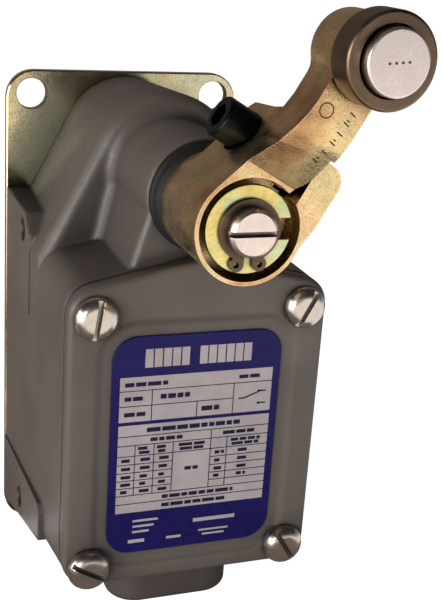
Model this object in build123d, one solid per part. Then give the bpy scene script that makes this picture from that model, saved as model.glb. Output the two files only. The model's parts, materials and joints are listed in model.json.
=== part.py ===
"""Heavy-duty lever limit switch: cast enclosure on a steel plate, rotary head, roller lever and contact block."""
from math import acos, atan, cos, radians, sin, tan
import os

from build123d import *

os.makedirs("parts", exist_ok=True)

# ---- mounting plate (row frame: plate back face at Y = 0, hole pattern centred on the origin) ----
PLATE_HALF_X = 33.0
PLATE_HALF_Z = 68.25
PLATE_T = 3.0
PLATE_CORNER_R = 7.5
PLATE_HOLE_X = 26.2
PLATE_HOLE_Z = 61.9
PLATE_HOLE_R = 4.15
PLATE_SCREW_X = 20.0
PLATE_SCREW_TOP_Z = 14.0
PLATE_SCREW_LOW_Z = -20.0

# ---- enclosure ----
SHAFT_Z = 50.0
BODY_HALF_FRONT = 31.7
BODY_HALF_MID = 32.2
BODY_HALF_REAR = 32.8
BODY_FRONT_Y = -73.4
BODY_MID_Y = -46.0
BODY_REAR_Y = -PLATE_T
BODY_BOTTOM_FRONT = -46.3
BODY_BOTTOM_SLOPE = 0.165
BODY_CORNER_R = 7.0
SHOULDER_Z = 29.3
GABLE_DEG = 13.0
TIER1_R_REAR = 17.0
TIER1_R_FRONT = 19.0
TIER1_FLANK_DEG = 27.0
TIER2_R_REAR = 13.9
TIER2_R_FRONT = 13.2
TIER2_FRONT_Y = -72.9
TIER2_FOOT_Z = 20.0
LUG_TOP_Z = 35.8
LUG_FRONT_Y = -35.6
LUG_INNER_X = 23.5
PAD_FRONT_Y = -55.0
PAD_OUTER_X = 33.2
PAD_FRONT_Z = -45.9
PAD_REAR_Z = -60.5
SIDE_HOLE_R = 3.15
SIDE_HOLE_Y = -27.2
SIDE_HOLE_TOP_Z = 30.5
SIDE_HOLE_LOW_Z = -47.7
SIDE_HOLE_DEPTH = 9.0
HUB_HALF_X = 16.5
HUB_FRONT_Y = -69.0
HUB_REAR_Y = -36.0
HUB_BOTTOM_Z = -59.8
CONDUIT_Y = -52.5
CONDUIT_R = 12.0
CAVITY_HALF_X = 27.3
CAVITY_TOP_Z = 25.2
CAVITY_BOTTOM_Z = -41.3
CAVITY_REAR_Y = -9.0
CHAMBER_R = 14.0
CHAMBER_FRONT_Y = -41.0
CHAMBER_REAR_Y = -12.0

# ---- cover ----
GASKET_T = 0.8
COVER_REAR_Y = BODY_FRONT_Y - GASKET_T
COVER_FRONT_Y = -78.0
COVER_RECESS = 0.8
SCREW_X = 25.5
SCREW_TOP_Z = 23.6
SCREW_LOW_Z = -41.0
SCREW_HEAD_R = 5.2
SCREW_R = 2.4
NAMEPLATE_W = 42.0
NAMEPLATE_H = 56.8
NAMEPLATE_Z = -10.2
NAMEPLATE_T = 0.5
FIELD_MARGIN = 3.4

# ---- shaft and its fittings ----
SHAFT_R = 5.2
JOURNAL_R = 4.0
SHAFT_FRONT_Y = -106.2
SHAFT_STEP_Y = -40.7
SHAFT_REAR_Y = -5.0
SEAL_R = 13.0
SEAL_FRONT_Y = -78.5
RUN_CLEAR = 0.05
WASHER_R = 9.5
WASHER_FRONT_Y = -102.3
WASHER_T = 1.5
CLIP_T = 0.9

# ---- lever ----
LEVER_DEG = 60.0
LEVER_LENGTH = 42.0
LEVER_HUB_R = 12.0
LEVER_REAR_Y = -79.5
LEVER_FRONT_Y = -103.0
LEVER_RECESS_R = 11.1
LEVER_RECESS_Y = -95.0
ARM_LEFT = 5.3
ARM_RIGHT = 5.9
ARM_REAR_Y = -91.2
TIP_REAR_Y = -97.3
TIP_FRONT_Y = -108.8
TIP_R = 8.5
BEND_START = 11.8
BEND_END = 23.5
CLAMP_LEFT = 6.7
TAPER_END = 18.0
CLAMP_RIGHT = 12.6
SEAT_LEFT = 6.8
CHEEK_REACH = 23.5
CHEEK_REAR_Y = -83.0
OUTLINE_BLEND = 4.5
LEVER_SEAT_R = 6.5
EAR_REACH = 20.2
SPLIT_LEFT = 5.0
SPLIT_RIGHT = 5.9
PINCH_S = 16.7
PINCH_Y = -90.6
PINCH_R = 3.1
PINCH_HEAD_R = 4.6
PINCH_HEAD_H = 6.4
PINCH_WASHER_T = 1.0

# ---- roller ----
ROLLER_R = 9.75
ROLLER_REAR_Y = -109.2
ROLLER_FRONT_Y = -116.8
ROLLER_RECESS_R = 7.1
ROLLER_RECESS_Y = -114.9
ROLLER_BUSH_R = 4.6
PIN_R = 3.2
PIN_HEAD_R = 6.7
PIN_HEAD_FRONT_Y = -119.3

# ---- cam and plunger ----
CAM_TRAVEL = 3.0
CAM_SWING_DEG = 45.0
CAM_PITCH_R = 12.5
CAM_FRONT_Y = -33.0
CAM_REAR_Y = -27.0
CAM_HUB_R = 6.2
NOSE_R = 3.0
NOSE_CLEAR = 0.05
STEM_HALF = 3.0
GUIDE_CLEAR = 0.06

# ---- contact block ----
BLOCK_HALF_X = 22.0
BLOCK_REAR_Y = -14.0
BLOCK_WALL_Y = -18.0
BLOCK_FRONT_Y = -44.0
BLOCK_TOP_Z = 25.0
BLOCK_BOTTOM_Z = -36.0
COLUMN_INNER_X = 12.5
COLUMN_TOP_Z = 19.0
COLUMN_BOTTOM_Z = -28.0
SPRING_SEAT_Z = -32.0
BRIDGE_UPPER_Z = 9.0
BRIDGE_LOWER_Z = -12.0
CONTACT_Y = -30.0
BLOCK_SCREW_X = 17.0
BLOCK_SCREW_TOP_Z = 22.2
BLOCK_SCREW_LOW_Z = -32.4


def facing(y):
    """Plane parallel to the front, drawn in X and Z, whose normal points to the front."""
    return Plane(origin=(0, y, 0), x_dir=(1, 0, 0), z_dir=(0, -1, 0))


def slab(profile, rear_y, front_y):
    """Profile drawn in X and Z, extruded from rear_y forward to front_y."""
    return extrude(facing(rear_y) * profile, amount=rear_y - front_y)


def disc(x, z, radius, rear_y, front_y):
    """Round bar along Y."""
    return slab(Pos(x, z) * Circle(radius), rear_y, front_y)


def ring(x, z, outer, inner, rear_y, front_y):
    """Plain ring along Y."""
    return slab(Pos(x, z) * (Circle(outer) - Circle(inner)), rear_y, front_y)


def block(x0, x1, y0, y1, z0, z1):
    """Box given by its limits."""
    return Pos((x0 + x1) / 2, (y0 + y1) / 2, (z0 + z1) / 2) * Box(x1 - x0, y1 - y0, z1 - z0)


def bar_x(y, z, radius, x0, x1):
    """Round bar along X."""
    return Pos((x0 + x1) / 2, y, z) * Rot(0, 90, 0) * Cylinder(radius, x1 - x0)


def bar_z(x, y, radius, z0, z1):
    """Round bar along Z."""
    return Pos(x, y, (z0 + z1) / 2) * Cylinder(radius, z1 - z0)


def four(x, z_top, z_low):
    """The four corner places of a rectangle symmetric in X."""
    return [(-x, z_top), (x, z_top), (-x, z_low), (x, z_low)]


def save(name, shape, colour):
    """Write one node, its solids kept separate."""
    shape.label = name
    shape.color = Color(*colour)
    export_step(shape, "parts/" + name + ".step")


def bottom_at(y):
    """Height of the sloping underside of the enclosure at a depth."""
    return BODY_BOTTOM_FRONT - BODY_BOTTOM_SLOPE * (y - BODY_FRONT_Y)


def hood_profile(radius, flank_deg, half, foot_z):
    """Round top about the shaft axis with straight flanks that widen to the sides of the body."""
    a = radians(flank_deg)
    side_x = radius * cos(a)
    side_z = SHAFT_Z + radius * sin(a)
    corner_z = side_z - (half - side_x) / tan(a)
    crown = ThreePointArc((side_x, side_z), (0, SHAFT_Z + radius), (-side_x, side_z))
    sides = Polyline((-side_x, side_z), (-half, corner_z), (-half, foot_z), (half, foot_z), (half, corner_z),
                     (side_x, side_z))
    return make_face(crown + sides)


def neck_profile(radius, drop, flank_deg, foot_z):
    """Circle about the shaft axis standing on a neck that widens downwards from below its middle."""
    half = (radius**2 - drop**2) ** 0.5
    top_z = SHAFT_Z - drop
    foot = half + (top_z - foot_z) * tan(radians(flank_deg))
    crown = ThreePointArc((half, top_z), (0, SHAFT_Z + radius), (-half, top_z))
    sides = Polyline((-half, top_z), (-foot, foot_z), (foot, foot_z), (half, top_z))
    return make_face(crown + sides)


def gable_profile(half, bottom_z, inset=0.0):
    """Front outline of the box: flat bottom, straight sides and a low gable."""
    apex = SHOULDER_Z + half * tan(radians(GABLE_DEG))
    outline = Polygon((-half, bottom_z), (half, bottom_z), (half, SHOULDER_Z), (0, apex), (-half, SHOULDER_Z),
                      align=None)
    outline = fillet(outline.vertices(), BODY_CORNER_R)
    return offset(outline, -inset) if inset else outline


def body_shell():
    """Outer form of the enclosure without cavities."""
    front = loft([facing(BODY_FRONT_Y) * gable_profile(BODY_HALF_FRONT, bottom_at(BODY_FRONT_Y)),
                  facing(BODY_MID_Y) * gable_profile(BODY_HALF_MID, bottom_at(BODY_MID_Y))])
    hood = loft([facing(BODY_MID_Y) * hood_profile(TIER1_R_FRONT, TIER1_FLANK_DEG, BODY_HALF_MID,
                                                   bottom_at(BODY_MID_Y)),
                 facing(BODY_REAR_Y) * hood_profile(TIER1_R_REAR, TIER1_FLANK_DEG, BODY_HALF_REAR,
                                                    bottom_at(BODY_REAR_Y))])
    low_edges = hood.edges().filter_by(lambda e: e.center().Z < -40 and e.length > 30)
    low_edges = low_edges.filter_by(lambda e: abs(e.center().X) > 25)
    hood = fillet(low_edges, BODY_CORNER_R)
    rim = hood.faces().sort_by(Axis.Y)[0].edges().filter_by(lambda e: e.center().Z > 31)
    hood = fillet(rim, 3.0)
    neck = loft([facing(TIER2_FRONT_Y) * neck_profile(TIER2_R_FRONT, 3.9, 17.0, TIER2_FOOT_Z),
                 facing(BODY_MID_Y + 2) * neck_profile(TIER2_R_REAR, 3.0, 12.0, TIER2_FOOT_Z)])
    neck_rim = neck.faces().sort_by(Axis.Y)[0].edges().filter_by(lambda e: e.center().Z > 30)
    neck = fillet(neck_rim, 1.6)
    shape = front + hood + neck
    root = shape.edges().filter_by(lambda e: abs(e.center().Y - BODY_MID_Y) < 0.3 and abs(e.center().X) < 16)
    return fillet(root.filter_by(GeomType.BSPLINE).filter_by(lambda e: e.center().Z > 35), 3.0)


def lug(side):
    """Upper rear lug that squares the shoulder around the side hole."""
    outline = Polyline((LUG_FRONT_Y, 10), (LUG_FRONT_Y, LUG_TOP_Z - 4.6), (LUG_FRONT_Y + 5.5, LUG_TOP_Z),
                       (BODY_REAR_Y, LUG_TOP_Z), (BODY_REAR_Y, 10), close=True)
    shape = extrude(Plane.YZ * make_face(outline), amount=BODY_HALF_REAR - LUG_INNER_X)
    shape = Pos(LUG_INNER_X, 0, 0) * shape
    return shape if side > 0 else mirror(shape, Plane.YZ)


def pad(side):
    """Lower rear pad that squares the bottom corner around the side hole."""
    outline = Polyline((BODY_REAR_Y, -40.2), (PAD_FRONT_Y + 2, -36.0), (PAD_FRONT_Y, -38.0),
                       (PAD_FRONT_Y, PAD_FRONT_Z), (BODY_REAR_Y, PAD_REAR_Z), close=True)
    shape = extrude(Plane.YZ * make_face(outline), amount=PAD_OUTER_X - 24)
    shape = Pos(24, 0, 0) * shape
    return shape if side > 0 else mirror(shape, Plane.YZ)


def conduit_hub():
    """Rounded square hub under the body for the conduit entry."""
    depth = HUB_REAR_Y - HUB_FRONT_Y
    outline = RectangleRounded(2 * HUB_HALF_X, depth, 8.0)
    shape = extrude(outline, amount=CAVITY_BOTTOM_Z - 3 - HUB_BOTTOM_Z)
    shape = Pos(0, (HUB_REAR_Y + HUB_FRONT_Y) / 2, HUB_BOTTOM_Z) * shape
    return fillet(shape.faces().sort_by(Axis.Z)[0].edges(), 2.0)


def make_housing():
    """Cast enclosure with its cavities, bearing bores, screw bosses and holes."""
    shape = body_shell() + lug(1) + lug(-1) + pad(1) + pad(-1) + conduit_hub()
    room = block(-CAVITY_HALF_X, CAVITY_HALF_X, BODY_FRONT_Y - 1, CAVITY_REAR_Y, CAVITY_BOTTOM_Z, CAVITY_TOP_Z)
    room = fillet(room.edges().filter_by(Axis.Y), 4.0)
    for x, z in four(SCREW_X, SCREW_TOP_Z, SCREW_LOW_Z):
        room -= disc(x, z, 5.4, CAVITY_REAR_Y + 1, BODY_FRONT_Y - 2)
    shape -= room
    chamber = disc(0, SHAFT_Z, CHAMBER_R, CHAMBER_REAR_Y, CHAMBER_FRONT_Y)
    chamber += block(-CHAMBER_R, CHAMBER_R, CHAMBER_FRONT_Y, CHAMBER_REAR_Y, CAVITY_TOP_Z - 1, SHAFT_Z)
    shape -= chamber
    shape -= disc(0, SHAFT_Z, 7.5, CHAMBER_FRONT_Y + 1, TIER2_FRONT_Y - 1)
    shape -= disc(0, SHAFT_Z, 6.2, BODY_REAR_Y - 1.5, CHAMBER_REAR_Y - 1)
    shape -= bar_z(0, CONDUIT_Y, CONDUIT_R, HUB_BOTTOM_Z - 1, CAVITY_BOTTOM_Z + 1)
    for x, z in four(SCREW_X, SCREW_TOP_Z, SCREW_LOW_Z):
        shape -= disc(x, z, SCREW_R + 0.05, BODY_FRONT_Y + 15, BODY_FRONT_Y - 1)
    for z in (SIDE_HOLE_TOP_Z, SIDE_HOLE_LOW_Z):
        shape -= bar_x(SIDE_HOLE_Y, z, SIDE_HOLE_R, -34, -PAD_OUTER_X + SIDE_HOLE_DEPTH)
        shape -= bar_x(SIDE_HOLE_Y, z, SIDE_HOLE_R, PAD_OUTER_X - SIDE_HOLE_DEPTH, 34)
    for x, z in four(BLOCK_SCREW_X, BLOCK_SCREW_TOP_Z, BLOCK_SCREW_LOW_Z):
        shape += disc(x, z, 4.2, CAVITY_REAR_Y + 0.5, BLOCK_REAR_Y)
        shape -= disc(x, z, 1.75, CAVITY_REAR_Y + 2, BLOCK_REAR_Y - 1)
    shape += disc(0, -37.0, 4.2, CAVITY_REAR_Y + 0.5, -13.0)
    shape -= disc(0, -37.0, 2.05, CAVITY_REAR_Y + 3, -14.0)
    for x, z in four(PLATE_SCREW_X, PLATE_SCREW_TOP_Z, PLATE_SCREW_LOW_Z):
        shape -= disc(x, z, 2.05, BODY_REAR_Y + 1, BODY_REAR_Y - 5.0)
    return shape


def make_plate():
    """Flat steel mounting plate with four corner holes and four countersunk holes."""
    outline = RectangleRounded(2 * PLATE_HALF_X, 2 * PLATE_HALF_Z, PLATE_CORNER_R)
    shape = slab(outline, 0, -PLATE_T)
    for x, z in four(PLATE_HOLE_X, PLATE_HOLE_Z, -PLATE_HOLE_Z):
        shape -= disc(x, z, PLATE_HOLE_R, 1, -PLATE_T - 1)
    for x, z in four(PLATE_SCREW_X, PLATE_SCREW_TOP_Z, PLATE_SCREW_LOW_Z):
        shape -= disc(x, z, 2.15, 1, -PLATE_T - 1)
        shape -= Pos(x, -1.1, z) * Rot(90, 0, 0) * Cone(4.35, 2.15, 2.2)
    return shape


def make_plate_screws():
    """Four countersunk screws that hold the plate to the enclosure from behind."""
    solids = []
    for x, z in four(PLATE_SCREW_X, PLATE_SCREW_TOP_Z, PLATE_SCREW_LOW_Z):
        head = Pos(x, -1.2, z) * Rot(90, 0, 0) * Cone(4.1, 2.0, 2.0)
        shank = disc(x, z, 2.0, -0.5, BODY_REAR_Y - 4.6)
        drive = block(x - 3.4, x + 3.4, -0.9, 0.5, z - 0.5, z + 0.5)
        solids.append(head + shank - drive)
    return Compound(solids)


def make_cover():
    """Flat cover with a gabled top edge and a shallow field for the nameplate."""
    outline = gable_profile(BODY_HALF_FRONT, BODY_BOTTOM_FRONT)
    shape = slab(outline, COVER_REAR_Y, COVER_FRONT_Y)
    shape = fillet(shape.faces().sort_by(Axis.Y)[0].edges(), 1.3)
    field = Pos(0, NAMEPLATE_Z) * RectangleRounded(NAMEPLATE_W + 2 * FIELD_MARGIN, NAMEPLATE_H + 2 * FIELD_MARGIN,
                                                   8.5)
    shape -= slab(field, COVER_FRONT_Y + COVER_RECESS, COVER_FRONT_Y - 1)
    for x, z in four(SCREW_X, SCREW_TOP_Z, SCREW_LOW_Z):
        shape -= disc(x, z, SCREW_R + 0.2, COVER_REAR_Y + 1, COVER_FRONT_Y - 1)
    return shape


def make_gasket():
    """Rubber gasket between cover and enclosure."""
    outline = gable_profile(BODY_HALF_FRONT, BODY_BOTTOM_FRONT, inset=0.4)
    shape = slab(outline, BODY_FRONT_Y, COVER_REAR_Y)
    hole = block(-21, 21, COVER_REAR_Y - 1, BODY_FRONT_Y + 1, -36, 21)
    shape -= fillet(hole.edges().filter_by(Axis.Y), 3.0)
    for x, z in four(SCREW_X, SCREW_TOP_Z, SCREW_LOW_Z):
        shape -= disc(x, z, SCREW_R + 0.2, BODY_FRONT_Y + 1, COVER_REAR_Y - 1)
    return shape


def make_cover_screws():
    """Four slotted round-head cover screws."""
    turns = [82, 62, -30, -58]
    solids = []
    for (x, z), turn in zip(four(SCREW_X, SCREW_TOP_Z, SCREW_LOW_Z), turns):
        head = disc(x, z, SCREW_HEAD_R, COVER_FRONT_Y, COVER_FRONT_Y - 3.3)
        head = fillet(head.faces().sort_by(Axis.Y)[0].edges(), 2.6)
        slot = Rot(0, -turn, 0) * Box(14, 1.7, 1.25)
        head -= Pos(x, COVER_FRONT_Y - 3.0, z) * slot
        solids.append(head + disc(x, z, SCREW_R, COVER_FRONT_Y + 17.5, COVER_FRONT_Y - 0.5))
    return Compound(solids)


def make_nameplate():
    """Thin nameplate in the cover's field."""
    outline = Pos(0, NAMEPLATE_Z) * RectangleRounded(NAMEPLATE_W, NAMEPLATE_H, 6.0)
    floor_y = COVER_FRONT_Y + COVER_RECESS
    return slab(outline, floor_y, floor_y - NAMEPLATE_T)


def make_liner():
    """Fibre liner on the inside of the cover."""
    return block(-19, 19, COVER_REAR_Y, COVER_REAR_Y + 0.6, -34, 19)


def make_seal():
    """Rubber lip seal between the head and the lever hub."""
    shape = ring(0, SHAFT_Z, SEAL_R, SHAFT_R + 0.08, TIER2_FRONT_Y, SEAL_FRONT_Y)
    rim = shape.faces().sort_by(Axis.Y)[0].edges().sort_by(SortBy.LENGTH)[-1]
    shape = fillet(rim, 1.4)
    groove = ring(0, SHAFT_Z, SEAL_R + 1, SEAL_R - 0.9, TIER2_FRONT_Y - 2.2, TIER2_FRONT_Y - 3.2)
    return shape - groove


def make_shaft():
    """Operating shaft with circlip groove, O-ring groove, step, cross hole and end slot."""
    shape = disc(0, SHAFT_Z, SHAFT_R, SHAFT_STEP_Y, SHAFT_FRONT_Y)
    shape = chamfer(shape.faces().sort_by(Axis.Y)[0].edges(), 0.7)
    shape += disc(0, SHAFT_Z, JOURNAL_R, SHAFT_REAR_Y, SHAFT_STEP_Y - 1)
    shape -= ring(0, SHAFT_Z, SHAFT_R + 1, 4.7, WASHER_FRONT_Y + 0.05, WASHER_FRONT_Y - CLIP_T - 0.05)
    shape -= ring(0, SHAFT_Z, SHAFT_R + 1, 4.2, -67.0, -69.0)
    shape -= block(-7, 7, SHAFT_FRONT_Y - 1, SHAFT_FRONT_Y + 1.5, SHAFT_Z - 0.6, SHAFT_Z + 0.6)
    shape -= bar_x(-24.0, SHAFT_Z, 1.0, -7, 7)
    return shape


def make_o_ring():
    """O-ring in the shaft groove."""
    return Pos(0, -68.0, SHAFT_Z) * Rot(90, 0, 0) * Torus(4.74, 0.48)


def make_circlip():
    """External circlip with two eyelets at the bottom."""
    rear = WASHER_FRONT_Y
    front = WASHER_FRONT_Y - CLIP_T
    shape = ring(0, SHAFT_Z, 6.7, 4.75, rear, front)
    for side in (-1, 1):
        shape += disc(side * 2.5, SHAFT_Z - 7.2, 1.6, rear, front)
    shape -= block(-0.95, 0.95, front - 1, rear + 1, SHAFT_Z - 12, SHAFT_Z)
    for side in (-1, 1):
        shape -= disc(side * 2.6, SHAFT_Z - 7.3, 0.65, rear + 1, front - 1)
    return shape


def make_washer():
    """Notched plated washer under the circlip."""
    shape = ring(0, SHAFT_Z, WASHER_R, SHAFT_R + 0.1, WASHER_FRONT_Y + WASHER_T, WASHER_FRONT_Y)
    notch = block(3.0, 12.0, WASHER_FRONT_Y - 1, WASHER_FRONT_Y + WASHER_T + 1, SHAFT_Z - 2.3, SHAFT_Z + 2.3)
    return shape - notch


def along(shape):
    """Turn a shape drawn along +X from the origin onto the lever's line from the shaft axis."""
    return Pos(0, 0, SHAFT_Z) * Rot(0, -LEVER_DEG, 0) * shape


def lever_outline():
    """Front view of the lever without its ear, drawn along X: hub, tapering clamp, arm and tip."""
    reach = (TAPER_END**2 + CLAMP_LEFT**2) ** 0.5
    touch = atan(CLAMP_LEFT / TAPER_END) + acos(LEVER_HUB_R / reach)
    arm = Polygon((0, -ARM_RIGHT), (LEVER_LENGTH, -ARM_RIGHT), (LEVER_LENGTH, ARM_LEFT), (CHEEK_REACH + 5, ARM_LEFT),
                  (TAPER_END, CLAMP_LEFT), (LEVER_HUB_R * cos(touch), LEVER_HUB_R * sin(touch)), (0, 0), align=None)
    outline = Circle(LEVER_HUB_R) + arm + Pos(LEVER_LENGTH, 0) * Circle(TIP_R)
    return fillet(outline.vertices().filter_by(lambda v: v.X > TAPER_END - 1), OUTLINE_BLEND)


def make_lever():
    """Split-clamp lever with a stepped arm; drawn along X, then turned up."""
    hub = disc(0, 0, LEVER_HUB_R, LEVER_REAR_Y, LEVER_FRONT_Y)
    hub = fillet(hub.faces().sort_by(Axis.Y)[0].edges(), 0.6)
    rise = Polyline((-15, LEVER_FRONT_Y), (BEND_START, LEVER_FRONT_Y), (BEND_END, TIP_FRONT_Y),
                    (LEVER_LENGTH + 10, TIP_FRONT_Y), (LEVER_LENGTH + 10, TIP_REAR_Y), (BEND_END + 1.5, TIP_REAR_Y),
                    (CHEEK_REACH + 0.8, ARM_REAR_Y - 2.6), (CHEEK_REACH, CHEEK_REAR_Y - 1.5),
                    (CHEEK_REACH - 1.5, CHEEK_REAR_Y), (-15, CHEEK_REAR_Y), close=True)
    arm = extrude(make_face(rise), amount=15, both=True)
    bends = arm.edges().filter_by(Axis.Z).filter_by(lambda e: 12 < e.center().X < 35 and e.center().Y < ARM_REAR_Y)
    arm = fillet(bends.filter_by(lambda e: e.center().Y < TIP_REAR_Y - 3), 13.0)
    arm = arm & slab(lever_outline(), LEVER_REAR_Y, PIN_HEAD_FRONT_Y)
    ear = Polygon((2, -LEVER_HUB_R + 0.1), (7, -CLAMP_RIGHT), (EAR_REACH, -CLAMP_RIGHT), (EAR_REACH, -SPLIT_RIGHT),
                  (2, -SPLIT_RIGHT), align=None)
    ear = fillet(ear.vertices().filter_by(lambda v: v.X > 10 and v.Y < -CLAMP_RIGHT + 1), 4.0)
    shape = hub + arm
    shape += slab(ear, LEVER_REAR_Y - 0.8, LEVER_FRONT_Y)
    shape -= slab(Pos(12, -(SPLIT_LEFT + SPLIT_RIGHT) / 2) * Rectangle(17.2, SPLIT_RIGHT - SPLIT_LEFT),
                  LEVER_REAR_Y + 1, TIP_FRONT_Y - 1)
    shape -= disc(0, 0, SHAFT_R, LEVER_REAR_Y + 1, LEVER_FRONT_Y - 1)
    shape -= ring(0, 0, LEVER_RECESS_R, LEVER_SEAT_R, LEVER_RECESS_Y, LEVER_FRONT_Y - 1)
    shape -= disc(0, 0, LEVER_SEAT_R + 1, WASHER_FRONT_Y + WASHER_T, LEVER_FRONT_Y - 1)
    mouth = Polygon((10, -SPLIT_RIGHT), (17, -SPLIT_RIGHT), (10, -SPLIT_LEFT + 2.2), align=None)
    shape -= slab(mouth, LEVER_REAR_Y + 1, TIP_FRONT_Y - 1)
    shape -= Pos(PINCH_S, PINCH_Y, 0) * Cylinder(PINCH_R + 0.1, 40)
    shape -= bar_z(PINCH_S, PINCH_Y, 5.2, SEAT_LEFT, 15)
    shape -= disc(LEVER_LENGTH, 0, PIN_R, TIP_REAR_Y + 1, TIP_FRONT_Y - 1)
    return along(shape)


def make_pinch_screw():
    """Socket head cap screw across the split of the lever."""
    seat = SEAT_LEFT + PINCH_WASHER_T
    head = Cylinder(PINCH_HEAD_R, PINCH_HEAD_H)
    head = fillet(head.faces().sort_by(Axis.Z)[-1].edges(), 0.6)
    socket = extrude(RegularPolygon(2.75, 6), amount=4)
    head = Pos(PINCH_S, PINCH_Y, seat + PINCH_HEAD_H / 2) * head
    head -= Pos(PINCH_S, PINCH_Y, seat + PINCH_HEAD_H - 3.2) * socket
    shank = bar_z(PINCH_S, PINCH_Y, PINCH_R, -CLAMP_RIGHT + 0.6, seat + 0.5)
    return along(head + shank)


def make_lock_washer():
    """Split lock washer under the pinch screw head."""
    low = SEAT_LEFT
    shape = bar_z(PINCH_S, PINCH_Y, 4.65, low, low + PINCH_WASHER_T)
    shape -= bar_z(PINCH_S, PINCH_Y, PINCH_R + 0.1, low - 1, low + 2)
    shape -= block(PINCH_S, PINCH_S + 7, PINCH_Y - 0.3, PINCH_Y + 0.3, low - 1, low + 2)
    return along(shape)


def make_roller():
    """Hardened roller with a counterbore for the pin head."""
    shape = disc(LEVER_LENGTH, 0, ROLLER_R, ROLLER_REAR_Y, ROLLER_FRONT_Y)
    shape = fillet(shape.edges().filter_by(GeomType.CIRCLE), 0.7)
    shape -= disc(LEVER_LENGTH, 0, ROLLER_RECESS_R, ROLLER_RECESS_Y, ROLLER_FRONT_Y - 1)
    shape -= disc(LEVER_LENGTH, 0, ROLLER_BUSH_R, ROLLER_REAR_Y + 1, ROLLER_FRONT_Y - 1)
    return along(shape)


def make_roller_bushing():
    """Sintered bushing pressed into the roller."""
    return along(ring(LEVER_LENGTH, 0, ROLLER_BUSH_R, PIN_R + RUN_CLEAR, ROLLER_REAR_Y, ROLLER_RECESS_Y))


def make_roller_pin():
    """Headed pin riveted into the lever tip."""
    head = disc(LEVER_LENGTH, 0, PIN_HEAD_R, ROLLER_RECESS_Y - 0.35, PIN_HEAD_FRONT_Y)
    head = fillet(head.faces().sort_by(Axis.Y)[0].edges(), 0.5)
    shank = disc(LEVER_LENGTH, 0, PIN_R, TIP_REAR_Y, ROLLER_RECESS_Y - 1)
    peen = disc(LEVER_LENGTH, 0, PIN_R + 1.2, TIP_REAR_Y + 1.2, TIP_REAR_Y)
    peen = fillet(peen.faces().sort_by(Axis.Y)[-1].edges(), 0.9)
    return along(head + shank + peen)


def cam_edge():
    """Working edge of the cam: a spiral whose follower centre moves in proportion to the shaft angle."""
    rate = CAM_TRAVEL / radians(CAM_SWING_DEG)
    reach = radians(CAM_SWING_DEG + 11)
    points = []
    for i in range(25):
        a = -reach + 2 * reach * i / 24
        r = CAM_PITCH_R + rate * a
        length = (r * r + rate * rate) ** 0.5
        along_x = rate * sin(a) + r * cos(a)
        along_z = -rate * cos(a) + r * sin(a)
        centre_x = r * sin(a)
        centre_z = -r * cos(a)
        lift = (NOSE_R + NOSE_CLEAR) / length
        points.append((centre_x - lift * along_z, centre_z + lift * along_x))
    return points


def make_cam():
    """Spiral cam with its hub."""
    points = cam_edge()
    face = make_face(Spline(*points) + Polyline(points[-1], (0, 0), points[0]))
    shape = slab(Pos(0, SHAFT_Z) * face, CAM_REAR_Y, CAM_FRONT_Y)
    shape += disc(0, SHAFT_Z, CAM_HUB_R - 0.2, CAM_REAR_Y + 6.5, CAM_FRONT_Y - 7.3)
    shape -= disc(0, SHAFT_Z, JOURNAL_R, 0, -60)
    shape -= bar_x(-24.0, SHAFT_Z, 1.0, -8, 8)
    return shape


def make_cam_pin():
    """Cross pin through the cam hub and shaft."""
    return bar_x(-24.0, SHAFT_Z, 1.0, -5.9, 5.9)


def make_plunger():
    """Square plunger with a round nose under the cam."""
    nose_z = SHAFT_Z - CAM_PITCH_R
    shape = block(-STEM_HALF, STEM_HALF, CAM_FRONT_Y, CAM_REAR_Y, 15.0, nose_z)
    shape += disc(0, nose_z, NOSE_R, CAM_REAR_Y, CAM_FRONT_Y)
    return shape


def make_plunger_guide():
    """Brass guide for the plunger on top of the contact block."""
    low = COLUMN_TOP_Z
    high = COLUMN_TOP_Z + 5
    shape = block(-11.0, 11.0, -38.0, BLOCK_WALL_Y, low, high)
    gap = STEM_HALF + GUIDE_CLEAR
    middle = (CAM_FRONT_Y + CAM_REAR_Y) / 2
    return shape - block(-gap, gap, middle - gap, middle + gap, low - 1, high + 1)


def contact_slots():
    """Spaces in the columns for the fixed contact strips."""
    spaces = []
    for side in (-1, 1):
        for z in (fixed_z(1), fixed_z(-1)):
            x0, x1 = sorted((side * 5.0, side * 21.0))
            spaces.append(block(x0, x1, BLOCK_FRONT_Y - 1, CONTACT_Y + 2.5, z - 0.6, z + 0.6))
    return spaces


def fixed_z(level):
    """Height of a fixed contact strip: above the upper bridge or below the lower one."""
    offset_z = 0.5 + 1.0 + CAM_TRAVEL + 0.1 + 1.0 + 0.6
    return BRIDGE_UPPER_Z + offset_z if level > 0 else BRIDGE_LOWER_Z - offset_z


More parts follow.
